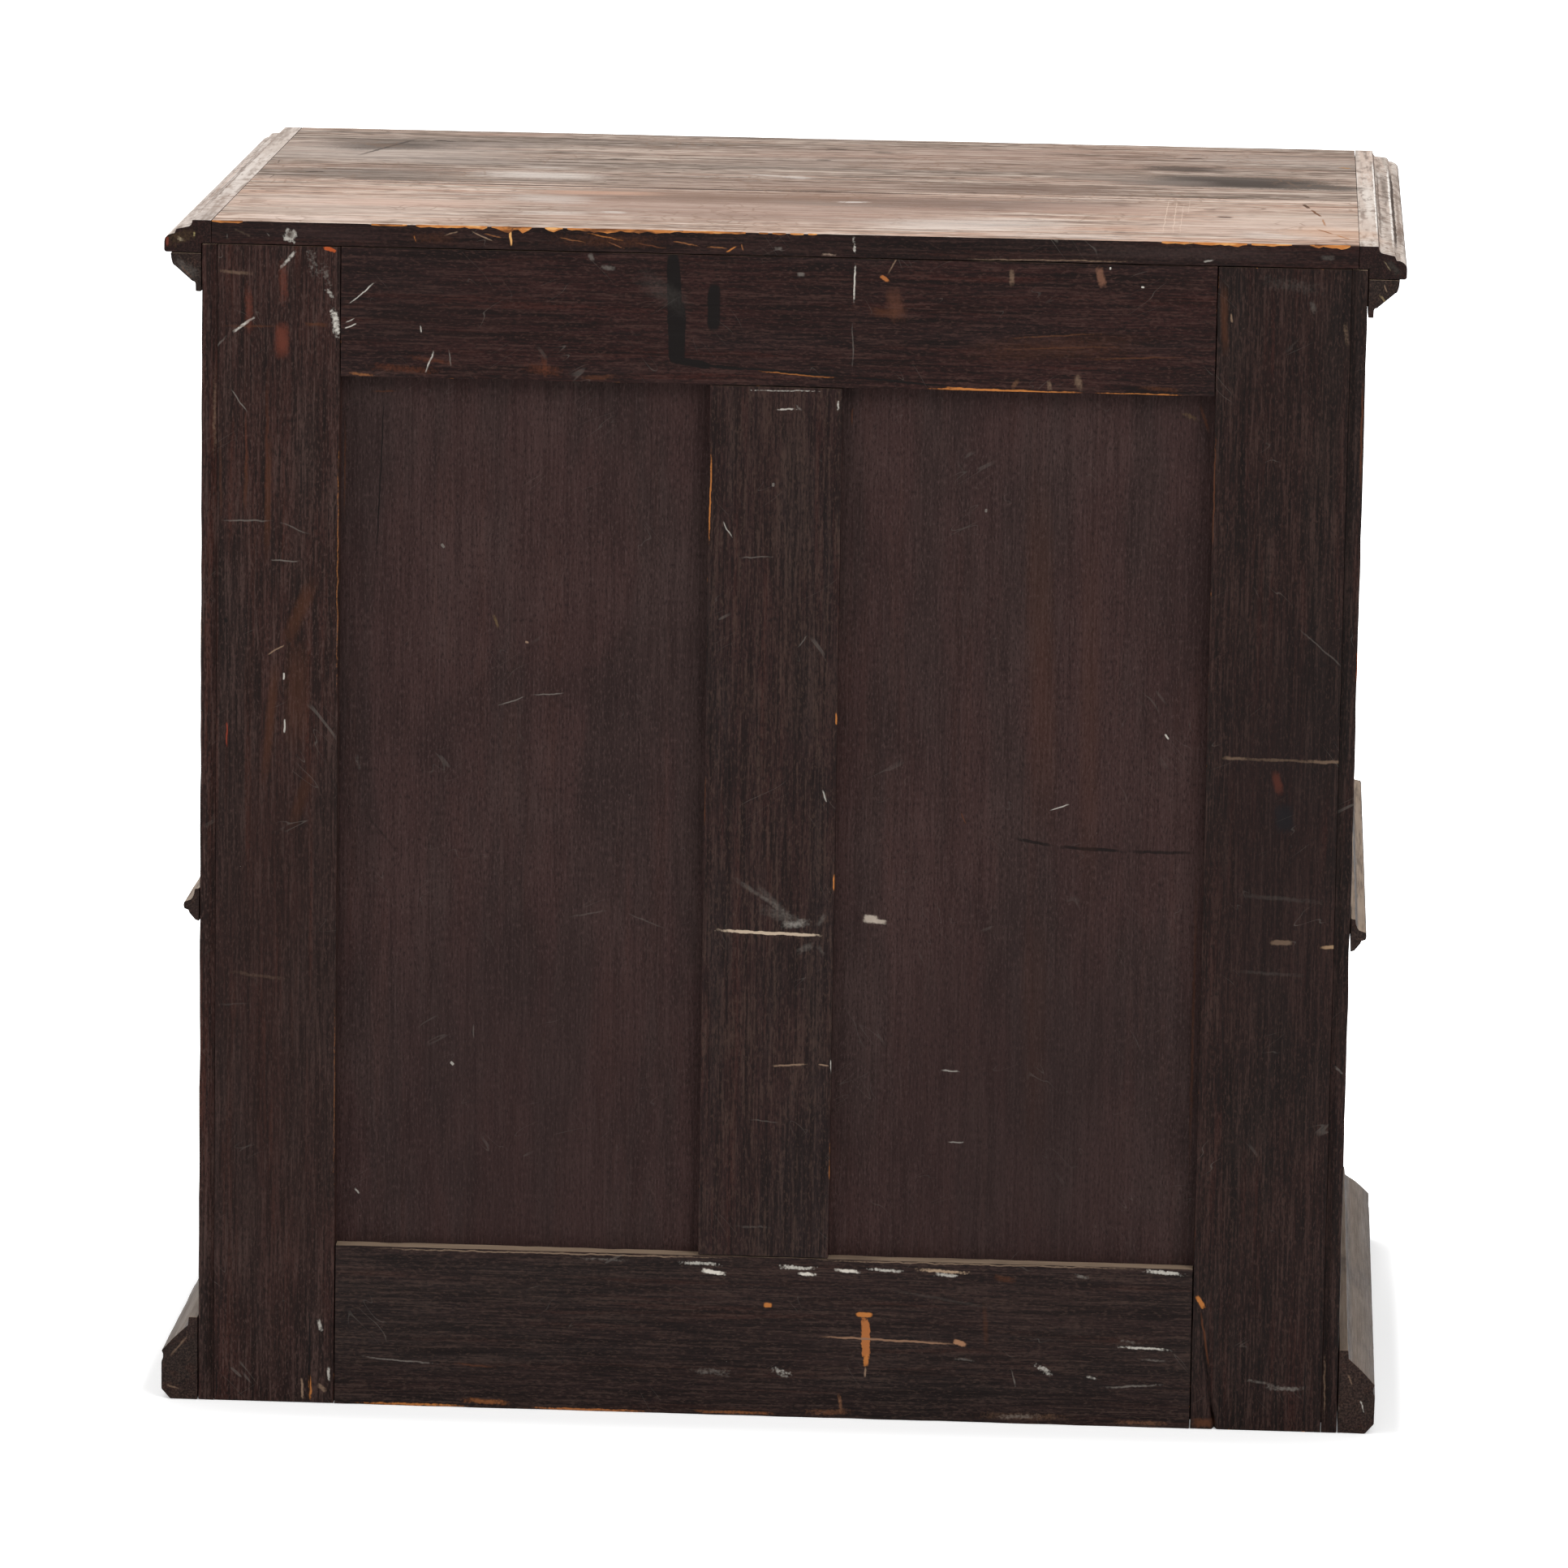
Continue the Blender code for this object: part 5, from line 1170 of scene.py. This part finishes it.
# Outline from the plate to the neck, then the ball: shares of the plate's radius and of the knob's reach
plate_and_neck = ((0.0, 0.0), (1.0, 0.0), (1.0, 0.05), (0.97, 0.085), (0.90, 0.102), (0.62, 0.110),
                  (0.50, 0.135), (0.40, 0.19), (0.36, 0.26), (0.35, 0.31), (0.38, 0.345))
ball_radius = 0.898
ball_middle = 0.674
ball_depth = 0.326
ball_begins = -62
ball_steps = 12


def aged_brass():
    """Turned brass, aged: it gives the eye a warm dull gold with brown tarnish in hollows and specks."""
    material, tree, shader, place = new_finish("aged_brass")
    cloud = add(tree, "TexNoise", {"Vector": place, "Scale": 1 / tarnish_size, "Detail": 5.0})
    fine = add(tree, "TexNoise", {"Vector": place, "Scale": 1 / brass_grit, "Detail": 3.0})
    colour = coat(tree, linear(brass_gold), brass_brown, cloud, 0.46, 0.70, 0.85)
    out = add(tree, "SeparateXYZ", {0: add(tree, "TexCoord", out="Normal")}, out="Y")
    colour = coat(tree, colour, brass_brown, out, -0.1, 0.5, 0.8)
    tree.links.new(colour, shader.inputs["Base Color"])
    rough = add(tree, "MapRange", {"Value": cloud, "From Min": 0.35, "From Max": 0.7, "To Min": 0.26,
                                   "To Max": 0.50})
    tree.links.new(rough, shader.inputs["Roughness"])
    shader.inputs["Metallic"].default_value = 1.0
    bump = add(tree, "Bump", {"Height": fine, "Strength": 0.15, "Distance": brass_relief})
    tree.links.new(bump, shader.inputs["Normal"])
    return material


def turned_knob(low, high):
    """A knob as a bmesh: its profile from the plate to the tip of the ball, spun round its axis."""
    bm = bmesh.new()
    middle = (low + high) / 2
    radius = (high.x - low.x) / 2
    profile = list(plate_and_neck)
    for step in range(ball_steps + 1):
        angle = math.radians(ball_begins + (90 - ball_begins) * step / ball_steps)
        profile.append((ball_radius * math.cos(angle), ball_middle + ball_depth * math.sin(angle)))
    chain = [bm.verts.new((middle.x + share * radius, low.y + knob_reach * (1 - out), middle.z))
             for share, out in profile]
    edges = [bm.edges.new(pair) for pair in zip(chain, chain[1:])]
    bmesh.ops.spin(bm, geom=chain + edges, cent=(middle.x, 0.0, middle.z), axis=(0.0, 1.0, 0.0),
                   angle=math.tau, steps=knob_turns, use_merge=True)
    bmesh.ops.remove_doubles(bm, verts=bm.verts, dist=pole_distance)
    bmesh.ops.recalc_face_normals(bm, faces=bm.faces)
    return bm


brass = aged_brass()
for number in range(1, 7):
    for side in ("left", "right"):
        node = "drawer_" + str(number) + "_knob_" + side
        finished(turned_knob(*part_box(node)), node + "_turned", "drawer_" + str(number), brass, node)
